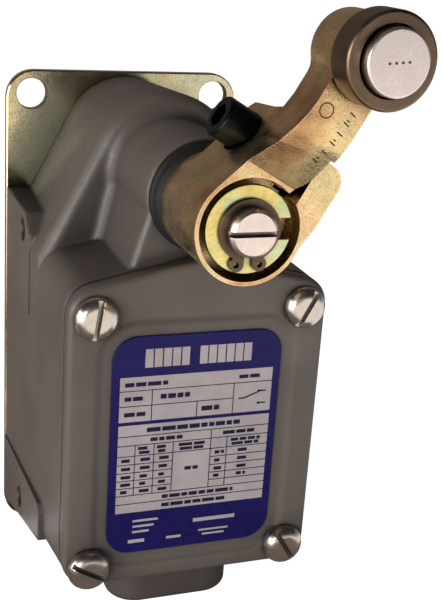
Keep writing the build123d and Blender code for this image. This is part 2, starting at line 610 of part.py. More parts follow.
def make_block_base():
    """Phenolic base: back wall, two terminal columns and the guide ribs of the carriage."""
    shape = block(-BLOCK_HALF_X, BLOCK_HALF_X, BLOCK_WALL_Y, BLOCK_REAR_Y, BLOCK_BOTTOM_Z, BLOCK_TOP_Z)
    for x0, x1 in ((-BLOCK_HALF_X, -COLUMN_INNER_X), (COLUMN_INNER_X, BLOCK_HALF_X)):
        shape += block(x0, x1, BLOCK_FRONT_Y, BLOCK_WALL_Y, COLUMN_BOTTOM_Z, COLUMN_TOP_Z)
    shape += block(-COLUMN_INNER_X, COLUMN_INNER_X, -37.0, BLOCK_WALL_Y, SPRING_SEAT_Z - 3, SPRING_SEAT_Z)
    for side in (-1, 1):
        x0, x1 = sorted((side * (4.0 + GUIDE_CLEAR), side * 6.0))
        shape += block(x0, x1, -22.0, BLOCK_WALL_Y, COLUMN_BOTTOM_Z + 3, COLUMN_TOP_Z)
    for space in contact_slots():
        shape -= space
    for x, z in four(SCREW_X, SCREW_TOP_Z, SCREW_LOW_Z):
        shape -= disc(x, z, 5.9, BLOCK_REAR_Y + 1, BLOCK_FRONT_Y - 1)
    shape -= block(-5.5, 5.5, BLOCK_WALL_Y - 1, BLOCK_REAR_Y + 1, BLOCK_BOTTOM_Z - 1, -31.0)
    for x, z in four(BLOCK_SCREW_X, BLOCK_SCREW_TOP_Z, BLOCK_SCREW_LOW_Z):
        shape -= disc(x, z, 1.9, BLOCK_REAR_Y + 1, BLOCK_WALL_Y - 1)
    for x, z in four(17.2, fixed_z(1), fixed_z(-1)):
        shape -= disc(x, z + 3.6 * (-1 if z > 0 else 1), 1.55, BLOCK_FRONT_Y + 9, BLOCK_FRONT_Y - 1)
    return shape


def make_fixed_contacts():
    """Four fixed contact strips with tips and terminal plates."""
    solids = []
    for side in (-1, 1):
        for level in (1, -1):
            z = fixed_z(level)
            x0, x1 = sorted((side * 5.0, side * 21.0))
            strip = block(x0, x1, BLOCK_FRONT_Y - 1.2, CONTACT_Y + 2.5, z - 0.6, z + 0.6)
            cut0, cut1 = sorted((side * 4.9, side * COLUMN_INNER_X))
            strip -= block(cut0, cut1, BLOCK_FRONT_Y - 2, CONTACT_Y - 2.5, z - 2, z + 2)
            t0, t1 = sorted((side * 13.0, side * 21.0))
            plate_z = sorted((z + 0.6 * level, z - 7.6 * level))
            strip += block(t0, t1, BLOCK_FRONT_Y - 1.2, BLOCK_FRONT_Y, plate_z[0], plate_z[1])
            strip -= disc(side * 17.2, z - 3.6 * level, 1.6, BLOCK_FRONT_Y + 1, BLOCK_FRONT_Y - 2)
            tip_z = sorted((z - 0.6 * level, z - 1.6 * level))
            strip += bar_z(side * 7.2, CONTACT_Y, 1.8, tip_z[0], tip_z[1])
            solids.append(strip)
    return Compound(solids)


def make_terminal_screws():
    """Four terminal screws on the fixed contacts."""
    solids = []
    for side in (-1, 1):
        for level in (1, -1):
            x = side * 17.2
            z = fixed_z(level) - 3.6 * level
            seat = BLOCK_FRONT_Y - 2.2
            head = disc(x, z, 2.9, seat, seat - 2.0) - block(x - 4, x + 4, seat - 3, seat - 1.0, z - 0.4, z + 0.4)
            solids.append(head + disc(x, z, 1.5, seat + 9.5, seat - 0.5))
    return Compound(solids)


def make_terminal_clamps():
    """Four square wire clamps under the terminal screw heads."""
    solids = []
    for side in (-1, 1):
        for level in (1, -1):
            x = side * 17.2
            z = fixed_z(level) - 3.6 * level
            clamp = block(x - 3.3, x + 3.3, BLOCK_FRONT_Y - 2.2, BLOCK_FRONT_Y - 1.2, z - 3.2, z + 3.2)
            solids.append(clamp - disc(x, z, 1.6, BLOCK_FRONT_Y, BLOCK_FRONT_Y - 3))
    return Compound(solids)


def make_carriage():
    """Moulded carriage with a window for each moving contact."""
    shape = block(-4.0, 4.0, -34.0, -18.4, -21.0, 15.0)
    for z in (BRIDGE_UPPER_Z, BRIDGE_LOWER_Z):
        shape -= block(-5.0, 5.0, CONTACT_Y - 2.6, CONTACT_Y + 2.6, z - 3.6, z + 3.6)
    return shape


def make_bridges():
    """Two moving contact bridges with domed tips."""
    solids = []
    for z, level in ((BRIDGE_UPPER_Z, 1), (BRIDGE_LOWER_Z, -1)):
        bar = block(-9.2, 9.2, CONTACT_Y - 2.2, CONTACT_Y + 2.2, z - 0.5, z + 0.5)
        for x in (-7.2, 7.2):
            tip_z = sorted((z + 0.5 * level, z + 1.5 * level))
            bar += bar_z(x, CONTACT_Y, 1.7, tip_z[0], tip_z[1])
        solids.append(bar)
    return Compound(solids)


def coil(x, y, z0, z1, radius, wire, turns):
    """Compression spring along Z."""
    path = Helix(pitch=(z1 - z0 - 2 * wire) / turns, height=z1 - z0 - 2 * wire, radius=radius)
    profile = Plane(origin=path @ 0, z_dir=path % 0) * Circle(wire)
    return Pos(x, y, z0 + wire) * sweep(profile, path)


def make_contact_springs():
    """Overtravel springs that hold the bridges in the carriage windows."""
    upper = coil(0, CONTACT_Y, BRIDGE_UPPER_Z - 3.5, BRIDGE_UPPER_Z - 0.55, 1.5, 0.28, 3)
    lower = coil(0, CONTACT_Y, BRIDGE_LOWER_Z + 0.55, BRIDGE_LOWER_Z + 3.5, 1.5, 0.28, 3)
    return Compound([upper, lower])


def make_block_cover():
    """Front guard of the contact block between the terminal columns."""
    gap = COLUMN_INNER_X - 0.1
    return block(-gap, gap, -43.5, -41.0, COLUMN_BOTTOM_Z + 1, COLUMN_TOP_Z - 0.5)


def make_block_screws():
    """Four screws that hold the contact block."""
    solids = []
    for x, z in four(BLOCK_SCREW_X, BLOCK_SCREW_TOP_Z, BLOCK_SCREW_LOW_Z):
        head = disc(x, z, 2.7, BLOCK_WALL_Y, BLOCK_WALL_Y - 2.0)
        head -= block(x - 3, x + 3, BLOCK_WALL_Y - 3, BLOCK_WALL_Y - 1.1, z - 0.4, z + 0.4)
        solids.append(head + disc(x, z, 1.7, BLOCK_REAR_Y + 4.5, BLOCK_WALL_Y - 0.5))
    return Compound(solids)


def make_ground_screw():
    """Hexagonal earth screw on the back wall."""
    head = slab(Pos(0, -37.0) * RegularPolygon(4.2, 6), -13.0, -16.0)
    return head + disc(0, -37.0, 2.0, CAVITY_REAR_Y + 2, -13.5)


def make_centring_spring():
    """Torsion spring around the rear of the cam hub with two upright legs."""
    path = Helix(pitch=1.5, height=3.0, radius=8.2)
    profile = Plane(origin=path @ 0, z_dir=path % 0) * Circle(0.5)
    shape = Pos(0, -35.0, SHAFT_Z) * Rot(90, 0, 0) * sweep(profile, path)
    return shape


BRASS = (0.72, 0.55, 0.24)
STEEL = (0.65, 0.65, 0.66)
GOLD = (0.78, 0.66, 0.36)
GREY = (0.36, 0.33, 0.31)
DARK = (0.07, 0.07, 0.07)
PHENOLIC = (0.30, 0.13, 0.08)
COPPER = (0.72, 0.40, 0.26)

save("mounting_plate", make_plate(), GOLD)
save("plate_screws", make_plate_screws(), STEEL)
save("housing", make_housing(), GREY)
save("cover", make_cover(), GREY)
save("cover_gasket", make_gasket(), DARK)
save("cover_screws", make_cover_screws(), STEEL)
save("nameplate", make_nameplate(), (0.08, 0.07, 0.40))
save("cover_liner", make_liner(), (0.62, 0.55, 0.42))
save("shaft_seal", make_seal(), DARK)
save("front_bushing", ring(0, SHAFT_Z, 7.5, SHAFT_R + RUN_CLEAR, CHAMBER_FRONT_Y, TIER2_FRONT_Y), BRASS)
save("rear_bushing", ring(0, SHAFT_Z, 6.2, JOURNAL_R + RUN_CLEAR, BODY_REAR_Y - 1.5, CHAMBER_REAR_Y), BRASS)
save("operating_shaft", make_shaft(), STEEL)
save("shaft_o_ring", make_o_ring(), DARK)
save("shaft_circlip", make_circlip(), STEEL)
save("notched_washer", make_washer(), GOLD)
save("lever_arm", make_lever(), GOLD)
save("pinch_screw", make_pinch_screw(), DARK)
save("pinch_lock_washer", make_lock_washer(), DARK)
save("roller", make_roller(), (0.45, 0.36, 0.30))
save("roller_bushing", make_roller_bushing(), BRASS)
save("roller_pin", make_roller_pin(), STEEL)
save("shaft_cam", make_cam(), STEEL)
save("cam_pin", make_cam_pin(), STEEL)
save("centring_spring", make_centring_spring(), STEEL)
save("plunger", make_plunger(), STEEL)
save("plunger_guide", make_plunger_guide(), BRASS)
save("contact_block_base", make_block_base(), PHENOLIC)
save("contact_block_cover", make_block_cover(), PHENOLIC)
save("contact_carriage", make_carriage(), (0.85, 0.83, 0.76))
save("moving_contacts", make_bridges(), COPPER)
save("contact_springs", make_contact_springs(), STEEL)
save("fixed_contacts", make_fixed_contacts(), BRASS)
save("terminal_screws", make_terminal_screws(), STEEL)
save("terminal_clamps", make_terminal_clamps(), STEEL)
save("block_screws", make_block_screws(), STEEL)
save("carriage_spring", coil(0, CONTACT_Y + 3.5, SPRING_SEAT_Z, -21.0, 3.0, 0.45, 6), STEEL)
save("ground_screw", make_ground_screw(), (0.12, 0.42, 0.20))
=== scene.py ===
"""Looks of the lever limit switch: finishes, fine visual pieces, studio and camera around its CAD frame."""

import json
import logging
import math
import random
from collections.abc import Iterable, Sequence
from dataclasses import dataclass, field
from enum import Enum

import bmesh
import bpy
from mathutils import Matrix, Vector
from mathutils.bvhtree import BVHTree

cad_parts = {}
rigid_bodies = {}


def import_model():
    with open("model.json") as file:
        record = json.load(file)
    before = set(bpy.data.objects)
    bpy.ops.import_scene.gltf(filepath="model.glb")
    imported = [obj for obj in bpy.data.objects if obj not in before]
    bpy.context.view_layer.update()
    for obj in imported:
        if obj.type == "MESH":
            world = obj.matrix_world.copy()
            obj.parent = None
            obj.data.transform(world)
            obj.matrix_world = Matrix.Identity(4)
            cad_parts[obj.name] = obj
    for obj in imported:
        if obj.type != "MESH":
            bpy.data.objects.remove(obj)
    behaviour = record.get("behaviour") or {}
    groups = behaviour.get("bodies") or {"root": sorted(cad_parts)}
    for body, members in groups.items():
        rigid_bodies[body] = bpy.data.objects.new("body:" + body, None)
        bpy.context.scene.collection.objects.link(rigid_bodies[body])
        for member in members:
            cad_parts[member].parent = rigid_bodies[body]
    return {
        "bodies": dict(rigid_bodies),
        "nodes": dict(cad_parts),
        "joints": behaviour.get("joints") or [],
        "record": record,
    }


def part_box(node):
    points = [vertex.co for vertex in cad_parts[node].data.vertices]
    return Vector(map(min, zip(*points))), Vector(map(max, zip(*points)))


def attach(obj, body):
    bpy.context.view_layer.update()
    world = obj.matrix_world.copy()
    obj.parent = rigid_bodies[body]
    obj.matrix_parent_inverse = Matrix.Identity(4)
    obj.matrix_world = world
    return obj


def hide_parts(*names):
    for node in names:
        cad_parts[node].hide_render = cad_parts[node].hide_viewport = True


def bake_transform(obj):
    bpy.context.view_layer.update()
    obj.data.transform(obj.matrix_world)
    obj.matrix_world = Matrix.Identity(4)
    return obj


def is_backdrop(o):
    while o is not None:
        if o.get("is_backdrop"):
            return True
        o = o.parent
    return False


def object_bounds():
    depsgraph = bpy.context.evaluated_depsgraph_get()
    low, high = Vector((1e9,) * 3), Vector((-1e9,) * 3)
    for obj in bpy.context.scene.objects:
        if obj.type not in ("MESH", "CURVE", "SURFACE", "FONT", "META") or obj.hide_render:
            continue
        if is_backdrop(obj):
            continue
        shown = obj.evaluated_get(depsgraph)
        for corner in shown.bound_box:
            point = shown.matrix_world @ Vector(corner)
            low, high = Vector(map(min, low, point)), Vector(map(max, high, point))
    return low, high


LOG = logging.getLogger("limit_switch")
MM = 0.001
SMOOTH_LIMIT = math.radians(32)
COVER_SMOOTH_LIMIT = math.radians(40)
EDGE_ROUNDING = {"lever_arm": 0.0005, "roller": 0.0002, "roller_pin": 0.0002, "operating_shaft": 0.00015,
                 "notched_washer": 0.00015, "shaft_circlip": 0.0001, "cover_screws": 0.00012}

Point = tuple[float, float]
Colour = tuple[float, float, float]


class Body(str, Enum):
    """Names of the rigid bodies of the CAD frame."""

    ENCLOSURE = "enclosure"
    LEVER = "lever_shaft"
    ROLLER = "roller_body"
    CARRIAGE = "carriage_body"


class Axis(Enum):
    """Directions that a turned piece can point to from its origin."""

    FRONT = Matrix.Rotation(math.radians(90), 4, "X")
    UP = Matrix.Identity(4)


# ----- Shader graphs -----


class Graph:
    """Thin wrapper that adds and joins the nodes of one material."""

    def __init__(self, name: str) -> None:
        """Start an empty material with a Principled shader and an output.

        Args:
            name: Name of the material.
        """
        self.material = bpy.data.materials.new(name)
        self.material.use_nodes = True
        self.tree = self.material.node_tree
        self.tree.nodes.clear()
        self.output = self.add("ShaderNodeOutputMaterial")
        self.shader = self.add("ShaderNodeBsdfPrincipled")
        self.join(self.shader.outputs["BSDF"], self.output.inputs["Surface"])
        self.coords = self.add("ShaderNodeTexCoord").outputs["Object"]

    def add(self, kind: str, **settings: object) -> bpy.types.Node:
        """Add a node.

        Args:
            kind: Blender type name of the node.
            **settings: Attributes to set on it.

        Returns:
            The new node.
        """
        node = self.tree.nodes.new(kind)
        for key, value in settings.items():
            setattr(node, key, value)
        return node

    def join(self, source: bpy.types.NodeSocket, target: bpy.types.NodeSocket) -> None:
        """Link an output to an input."""
        self.tree.links.new(source, target)

    def feed(self, node: bpy.types.Node, key: str | int, value: object) -> None:
        """Give an input a constant or the output of another node."""
        if isinstance(value, bpy.types.NodeSocket):
            self.join(value, node.inputs[key])
        else:
            node.inputs[key].default_value = value

    def noise(self, scale: float, detail: float = 3.0,
              stretch: Sequence[float] = (1, 1, 1)) -> bpy.types.NodeSocket:
        """Noise texture over the object coordinates.

        Args:
            scale: Cells per metre.
            detail: Octaves.
            stretch: Scale of each axis before the noise is taken.

        Returns:
            The factor output, from 0 to 1.
        """
        mapping = self.add("ShaderNodeMapping")
        self.feed(mapping, "Scale", tuple(stretch))
        self.join(self.coords, mapping.inputs["Vector"])
        texture = self.add("ShaderNodeTexNoise")
        self.join(mapping.outputs["Vector"], texture.inputs["Vector"])
        self.feed(texture, "Scale", scale)
        self.feed(texture, "Detail", detail)
        return texture.outputs["Fac"]

    def ramp(self, value: bpy.types.NodeSocket,
             stops: Sequence[tuple[float, Colour]]) -> bpy.types.NodeSocket:
        """Colour ramp.

        Args:
            value: Factor that runs along the ramp.
            stops: Position and colour of each stop.

        Returns:
            The colour output.
        """
        node = self.add("ShaderNodeValToRGB")
        elements = node.color_ramp.elements
        for element, (position, colour) in zip(elements, stops, strict=False):
            element.position = position
            element.color = (*colour, 1)
        for position, colour in stops[2:]:
            elements.new(position).color = (*colour, 1)
        self.join(value, node.inputs["Fac"])
        return node.outputs["Color"]

    def spread(self, value: bpy.types.NodeSocket, low: float, high: float, start: float = 0.3,
               end: float = 0.7) -> bpy.types.NodeSocket:
        """Map a factor onto another range.

        Args:
            value: Factor to map.
            low: Result at or before start.
            high: Result at or after end.
            start: Factor where the range starts.
            end: Factor where the range ends.

        Returns:
            The mapped factor.
        """
        node = self.add("ShaderNodeMapRange")
        self.join(value, node.inputs["Value"])
        self.feed(node, "From Min", start)
        self.feed(node, "From Max", end)
        self.feed(node, "To Min", low)
        self.feed(node, "To Max", high)
        return node.outputs["Result"]

    def mix(self, factor: object, first: object, second: object, blend: str = "MIX") -> bpy.types.NodeSocket:
        """Mix two colours.

        Args:
            factor: Share of the second colour, as a number or a socket.
            first: First colour or socket.
            second: Second colour or socket.
            blend: Blender's name of the way to mix.

        Returns:
            The mixed colour.
        """
        node = self.add("ShaderNodeMix", data_type="RGBA", blend_type=blend)
        for key, value in ((0, factor), (6, first), (7, second)):
            if isinstance(value, tuple) and len(value) == 3:
                value = (*value, 1)
            self.feed(node, key, value)
        return node.outputs[2]

    def edges(self, radius: float, low: float = 0.02, high: float = 0.22) -> bpy.types.NodeSocket:
        """Mask of the convex and concave edges, from the bent normal of a rounded surface.

        Args:
            radius: Reach of the mask in metres.
            low: Deviation of the normal where the mask starts.
            high: Deviation where it is full.

        Returns:
            A factor that is 1 on edges.
        """
        bevel = self.add("ShaderNodeBevel", samples=4)
        self.feed(bevel, "Radius", radius)
        normal = self.add("ShaderNodeNewGeometry").outputs["Normal"]
        dot = self.add("ShaderNodeVectorMath", operation="DOT_PRODUCT")
        self.join(bevel.outputs["Normal"], dot.inputs[0])
        self.join(normal, dot.inputs[1])
        return self.spread(dot.outputs["Value"], 1.0, 0.0, 1.0 - high, 1.0 - low)

    def recess_shade(self, reach: float, dark: float, shut: float, clear: float) -> bpy.types.NodeSocket:
        """Share of open space around a point, for painted shade that darkens recesses.

        Args:
            reach: Distance in metres that counts as near.
            dark: Value deep in a recess.
            shut: Open share at or under which a point counts as deep.
            clear: Open share at or over which a point counts as open.

        Returns:
            A factor that is 1 in the open.
        """
        space = self.add("ShaderNodeAmbientOcclusion", samples=6)
        self.feed(space, "Distance", reach)
        return self.spread(space.outputs["AO"], dark, 1.0, shut, clear)

    def shade(self, colour: bpy.types.NodeSocket, factor: bpy.types.NodeSocket) -> bpy.types.NodeSocket:
        """Darken a colour by a factor."""
        return self.mix(1.0, colour, factor, "MULTIPLY")

    def soften(self, radius: float) -> None:
        """Round the shaded edges of the piece, both outward and inward ones.

        Args:
            radius: Reach of the rounding in metres.
        """
        bevel = self.add("ShaderNodeBevel", samples=8)
        self.feed(bevel, "Radius", radius)
        self.join(bevel.outputs["Normal"], self.shader.inputs["Normal"])

    def bump(self, height: bpy.types.NodeSocket, distance: float, strength: float = 1.0) -> None:
        """Roughen the shader's normal.

        Args:
            height: Height factor.
            distance: Depth in metres of a height of 1.
            strength: Share of the effect.
        """
        node = self.add("ShaderNodeBump")
        self.feed(node, "Strength", strength)
        self.feed(node, "Distance", distance)
        self.join(height, node.inputs["Height"])
        if self.shader.inputs["Normal"].is_linked:
            self.join(self.shader.inputs["Normal"].links[0].from_socket, node.inputs["Normal"])
        self.join(node.outputs["Normal"], self.shader.inputs["Normal"])


# ----- Finishes -----


@dataclass(frozen=True)
class Enamel:
    """Sprayed enamel over a casting: soft mottling, fine orange peel and slightly rubbed edges."""

    name: str
    colour: Colour
    edge: Colour
    roughness: float = 0.42
    grain: float = 900.0
    depth: float = 0.00006
    soft: float = 0.0016
    rub: float = 0.16
    shade_reach: float = 0.03
    shade_dark: float = 0.25
    shade_span: tuple[float, float] = (0.35, 0.97)

    def build(self) -> bpy.types.Material:
        """Make the material.

        Returns:
            The new material.
        """
        g = Graph(self.name)
        g.soften(self.soft)
        cloud = g.noise(45.0, 4.0)
        dark = tuple(0.86 * c for c in self.colour)
        light = tuple(1.10 * c for c in self.colour)
        base = g.ramp(cloud, ((0.35, dark), (0.65, light)))
        rubbed = g.mix(g.spread(g.edges(0.0006), 0.0, self.rub, 0.0, 1.0), base, self.edge)
        # Painted shade: the colour darkens where little open space surrounds a point.
        depth = g.recess_shade(self.shade_reach, self.shade_dark, *self.shade_span)
        g.feed(g.shader, "Base Color", g.shade(rubbed, depth))
        fine = g.noise(self.grain, 3.0)
        g.feed(g.shader, "Roughness", g.spread(fine, self.roughness - 0.06, self.roughness + 0.08))
        g.feed(g.shader, "Coat Weight", 0.05)
        g.feed(g.shader, "Coat Roughness", 0.3)
        g.bump(fine, self.depth, 0.5)
        g.bump(g.noise(160.0, 2.0), 0.00025, 0.35)
        return g.material


@dataclass(frozen=True)
class Plated:
    """Chromated or plated metal with drifting tints, fine scratches, brighter edges and painted shade in its
    recesses.
    """

    name: str
    tints: tuple[Colour, ...]
    edge: Colour
    roughness: float = 0.3
    drift: float = 40.0
    grain: float = 1600.0
    stretch: tuple[float, float, float] = (1, 1, 1)
    depth: float = 0.00003
    edge_share: float = 0.6
    # Share of the colour left deep in a recess: painted shade.
    painted_shade: float = 0.1
    reach: float = 0.005
    clear: float = 0.75

    def build(self) -> bpy.types.Material:
        """Make the material.

        Returns:
            The new material.
        """
        g = Graph(self.name)
        cloud = g.noise(self.drift, 3.0)
        span = 0.5 / max(1, len(self.tints) - 1)
        stops = [(0.27 + span * i, tint) for i, tint in enumerate(self.tints)]
        base = g.ramp(cloud, stops)
        fine = g.noise(self.grain, 2.0, self.stretch)
        speck = g.mix(g.spread(fine, 0.0, 0.35, 0.45, 0.7), base, tuple(0.62 * c for c in self.tints[0]))
        rim = g.spread(g.edges(0.0005), 0.0, self.edge_share, 0.0, 1.0)
        # Painted shade: the colour darkens in recesses and close to other surfaces.
        depth = g.recess_shade(self.reach, self.painted_shade, 0.25, self.clear)
        g.feed(g.shader, "Base Color", g.shade(g.mix(rim, speck, self.edge), depth))
        g.feed(g.shader, "Metallic", 1.0)
        worn = g.noise(220.0, 3.0)
        g.feed(g.shader, "Roughness", g.spread(worn, self.roughness - 0.07, self.roughness + 0.1))
        g.bump(fine, self.depth, 0.6)
        return g.material


@dataclass(frozen=True)
class Turned:
    """Bright or dark machined metal with a fine uneven grain and painted shade in its recesses."""

    name: str
    colour: Colour
    roughness: float = 0.2
    mark: float = 0.00001
    # Share of the colour left deep in a recess, with the reach and span of that painted shade.
    painted_shade: float = 0.15
    painted_shade_reach: float = 0.008
    painted_shade_span: tuple[float, float] = (0.4, 0.95)

    def build(self) -> bpy.types.Material:
        """Make the material.

        Returns:
            The new material.
        """
        g = Graph(self.name)
        fine = g.noise(1500.0, 2.0)
        dull = tuple(0.8 * c for c in self.colour)
        mixed = g.mix(g.spread(fine, 0.0, 0.5), self.colour, dull)
        # Painted shade: the colour darkens in recesses.
        depth = g.recess_shade(self.painted_shade_reach, self.painted_shade, *self.painted_shade_span)
        g.feed(g.shader, "Base Color", g.shade(mixed, depth))
        g.feed(g.shader, "Metallic", 1.0)
        worn = g.noise(300.0, 3.0)
        g.feed(g.shader, "Roughness", g.spread(worn, self.roughness - 0.05, self.roughness + 0.08))
        g.bump(fine, self.mark, 0.5)
        return g.material


@dataclass(frozen=True)
class Moulded:
    """Rubber, fibre or moulded plastic with a fine surface grain."""

    name: str
    colour: Colour
    roughness: float = 0.5
    specular: float = 0.5
    grain: float = 1200.0
    depth: float = 0.00003

    def build(self) -> bpy.types.Material:
        """Make the material.

        Returns:
            The new material.
        """
        g = Graph(self.name)
        cloud = g.noise(120.0, 4.0)
        dark = tuple(0.8 * c for c in self.colour)
        g.feed(g.shader, "Base Color", g.ramp(cloud, ((0.3, dark), (0.7, self.colour))))
        g.feed(g.shader, "Specular IOR Level", self.specular)
        fine = g.noise(self.grain, 3.0)
        g.feed(g.shader, "Roughness", g.spread(fine, self.roughness - 0.08, self.roughness + 0.08))
        g.bump(fine, self.depth, 0.6)
        return g.material


FINISHES: dict[str, Enamel | Plated | Turned | Moulded] = {finish.name: finish for finish in (
    Enamel("grey_enamel", (0.138, 0.112, 0.098), (0.22, 0.19, 0.165)),
    Enamel("green_enamel", (0.02, 0.12, 0.04), (0.10, 0.2, 0.12)),
    # The plate's long shade reach darkens it next to the housing: painted shade.
    Plated("plate_steel", ((0.60, 0.38, 0.17), (0.90, 0.74, 0.42), (0.84, 0.84, 0.58), (0.98, 0.82, 0.66)),
           (0.98, 0.66, 0.30), 0.16, 32.0, edge_share=0.8, painted_shade=0.08, reach=0.045, clear=0.98),
    Plated("gold_dichromate", ((0.36, 0.20, 0.10), (0.62, 0.38, 0.18), (0.86, 0.64, 0.34), (0.68, 0.60, 0.32),
                               (0.82, 0.46, 0.36)),
           (1.0, 0.66, 0.55), 0.26, 70.0, 2200.0, depth=0.00008, edge_share=0.7),
    Plated("washer_dichromate", ((0.72, 0.60, 0.22), (0.84, 0.70, 0.26), (0.56, 0.70, 0.42),
                                 (0.90, 0.58, 0.50)), (0.95, 0.85, 0.5), 0.3, 130.0),
    Turned("bright_nickel", (0.64, 0.585, 0.53), 0.24),
    Turned("bright_steel", (0.84, 0.74, 0.70), 0.3),
    Turned("circlip_steel", (0.17, 0.12, 0.09), 0.35),
    Plated("roller_steel", ((0.14, 0.09, 0.06), (0.19, 0.135, 0.09), (0.24, 0.175, 0.12)), (0.62, 0.50, 0.4),
           0.36, 70.0, 2500.0),
    Turned("spring_steel", (0.45, 0.45, 0.46), 0.3),
    Turned("black_oxide", (0.018, 0.018, 0.02), 0.34, 0.00003),
    Turned("brass", (0.80, 0.58, 0.24), 0.25),
    Turned("bronze", (0.60, 0.38, 0.18), 0.4),
    Turned("copper", (0.80, 0.42, 0.26), 0.25),
    Moulded("black_rubber", (0.012, 0.011, 0.011), 0.6, 0.3),
    Moulded("stamped_shadow", (0.10, 0.055, 0.02), 0.6, 0.2),
    Moulded("fibre", (0.36, 0.27, 0.16), 0.8, 0.3),
    Moulded("phenolic", (0.05, 0.018, 0.01), 0.3),
    Moulded("white_moulding", (0.7, 0.66, 0.56), 0.4),
    Moulded("nameplate_blue", (0.014, 0.010, 0.13), 0.3, 0.15, 500.0, 0.000004),
    Moulded("print_white", (0.60, 0.52, 0.54), 0.5, 0.2, 500.0, 0.000004),
    Moulded("print_dark", (0.012, 0.009, 0.05), 0.5, 0.2, 500.0, 0.000004),
)}


class Paintbox:
    """Builds each finish once and hands it out by name."""

    def __init__(self) -> None:
        """Start with no material built."""
        self._made: dict[str, bpy.types.Material] = {}

    def get(self, name: str) -> bpy.types.Material:
        """Find or build a finish.

        Args:
            name: Key of the finish.

        Returns:
            Its material.
        """
        if name not in self._made:
            self._made[name] = FINISHES[name].build()
        return self._made[name]


PAINTS = Paintbox()


# ----- Mesh helpers -----


def close_piece(bm: bmesh.types.BMesh, name: str, body: Body | None, finishes: Sequence[str],
                node: str = "", limit: float = SMOOTH_LIMIT) -> bpy.types.Object:
    """Turn a bmesh into a finished object that rides on a body.

    Args:
        bm: Geometry in metres, already in place in the row frame. It is freed.
        name: Name of the object.
        body: Body it moves with, or None for a piece that rides on no body.
        finishes: Finish of each material index.
        node: CAD node it stands for, or empty for a piece that is added.
        limit: Edges that bend by more than this stay sharp.

    Returns:
        The new object.
    """
    bmesh.ops.remove_doubles(bm, verts=bm.verts, dist=0.000001)
    bmesh.ops.recalc_face_normals(bm, faces=bm.faces)
    for face in bm.faces:
        face.smooth = True
    for edge in bm.edges:
        edge.smooth = len(edge.link_faces) == 2 and edge.calc_face_angle(0.0) < limit
    mesh = bpy.data.meshes.new(name)
    bm.to_mesh(mesh)
    bm.free()
    piece = bpy.data.objects.new(name, mesh)
    for finish in finishes:
        mesh.materials.append(PAINTS.get(finish))
    bpy.context.scene.collection.objects.link(piece)
    if body:
        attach(piece, body.value)
    if node:
        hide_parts(node)
    LOG.info("built %s with %d faces", name, len(mesh.polygons))
    return piece


def loop_of(bm: bmesh.types.BMesh, points: Iterable[Point], y: float) -> list[bmesh.types.BMVert]:
    """Closed loop of vertices in a plane parallel to the front.

    Args:
        bm: Mesh to add to.
        points: X and Z of each vertex in millimetres.
        y: Depth in millimetres.

    Returns:
        The vertices in order.
    """
    return [bm.verts.new(Vector((x, y, z)) * MM) for x, z in points]


def skin(bm: bmesh.types.BMesh, first: Sequence[bmesh.types.BMVert], second: Sequence[bmesh.types.BMVert],
         material: int = 0) -> None:
    """Join two loops of the same length with quads.

    Args:
        bm: Mesh to add to.
        first: One loop.
        second: The other loop.
        material: Material index of the quads.
    """
    count = len(first)
    for i in range(count):
        j = (i + 1) % count
        bm.faces.new((first[i], first[j], second[j], second[i])).material_index = material


def cap(bm: bmesh.types.BMesh, loops: Sequence[Sequence[bmesh.types.BMVert]], material: int = 0) -> None:
    """Fill the flat region between an outer loop and any loops inside it.

    Args:
        bm: Mesh to add to.
        loops: The outer loop and then the loops inside it.
        material: Material index of the fill.
    """
    edges = []
    for loop in loops:
        for i, vert in enumerate(loop):
            other = loop[(i + 1) % len(loop)]
            edges.append(bm.edges.get((vert, other)) or bm.edges.new((vert, other)))
    made = bmesh.ops.triangle_fill(bm, edges=edges, use_beauty=True)
    for face in made["geom"]:
        if isinstance(face, bmesh.types.BMFace):
            face.material_index = material


def round_rect(width: float, height: float, radius: float, centre: Point = (0, 0),
               steps: int = 8) -> list[Point]:
    """Outline of a rectangle with rounded corners, anticlockwise in X and Z.

    Args:
        width: Size along X.
        height: Size along Z.
        radius: Radius of the corners.
        centre: X and Z of the middle.
        steps: Segments of each corner.

    Returns:
        The points of the outline.
    """
    points = []
    for quarter, (sx, sz) in enumerate(((1, 1), (-1, 1), (-1, -1), (1, -1))):
        for step in range(steps + 1):
            a = math.radians(90 * quarter + 90 * step / steps)
            points.append((centre[0] + sx * (width / 2 - radius) + radius * math.cos(a),
                           centre[1] + sz * (height / 2 - radius) + radius * math.sin(a)))
    return points


def circle(radius: float, centre: Point = (0, 0), steps: int = 40) -> list[Point]:
    """Outline of a circle, anticlockwise in X and Z."""
    return [(centre[0] + radius * math.cos(2 * math.pi * i / steps),
             centre[1] + radius * math.sin(2 * math.pi * i / steps)) for i in range(steps)]


def turned(bm: bmesh.types.BMesh, profile: Sequence[Point], place: Matrix, steps: int = 64) -> None:
    """Spin a closed profile of radius and height round the local Z axis.

    Args:
        bm: Mesh to add to.
        profile: Radius and height of each corner in millimetres, in order round the section.
        place: Where the local frame sits in the row frame, in metres.
        steps: Segments of a full turn.
    """
    verts = [bm.verts.new(Vector((r, 0, h)) * MM) for r, h in profile]
    edges = [bm.edges.new((verts[i], verts[(i + 1) % len(verts)])) for i in range(len(verts))]
    bmesh.ops.spin(bm, geom=verts + edges, cent=(0, 0, 0), axis=(0, 0, 1), angle=math.tau, steps=steps,
                   use_merge=True, use_duplicate=False)
    moved = [v for v in bm.verts if not v.tag]
    bmesh.ops.transform(bm, matrix=place, verts=moved)
    for vert in moved:
        vert.tag = True


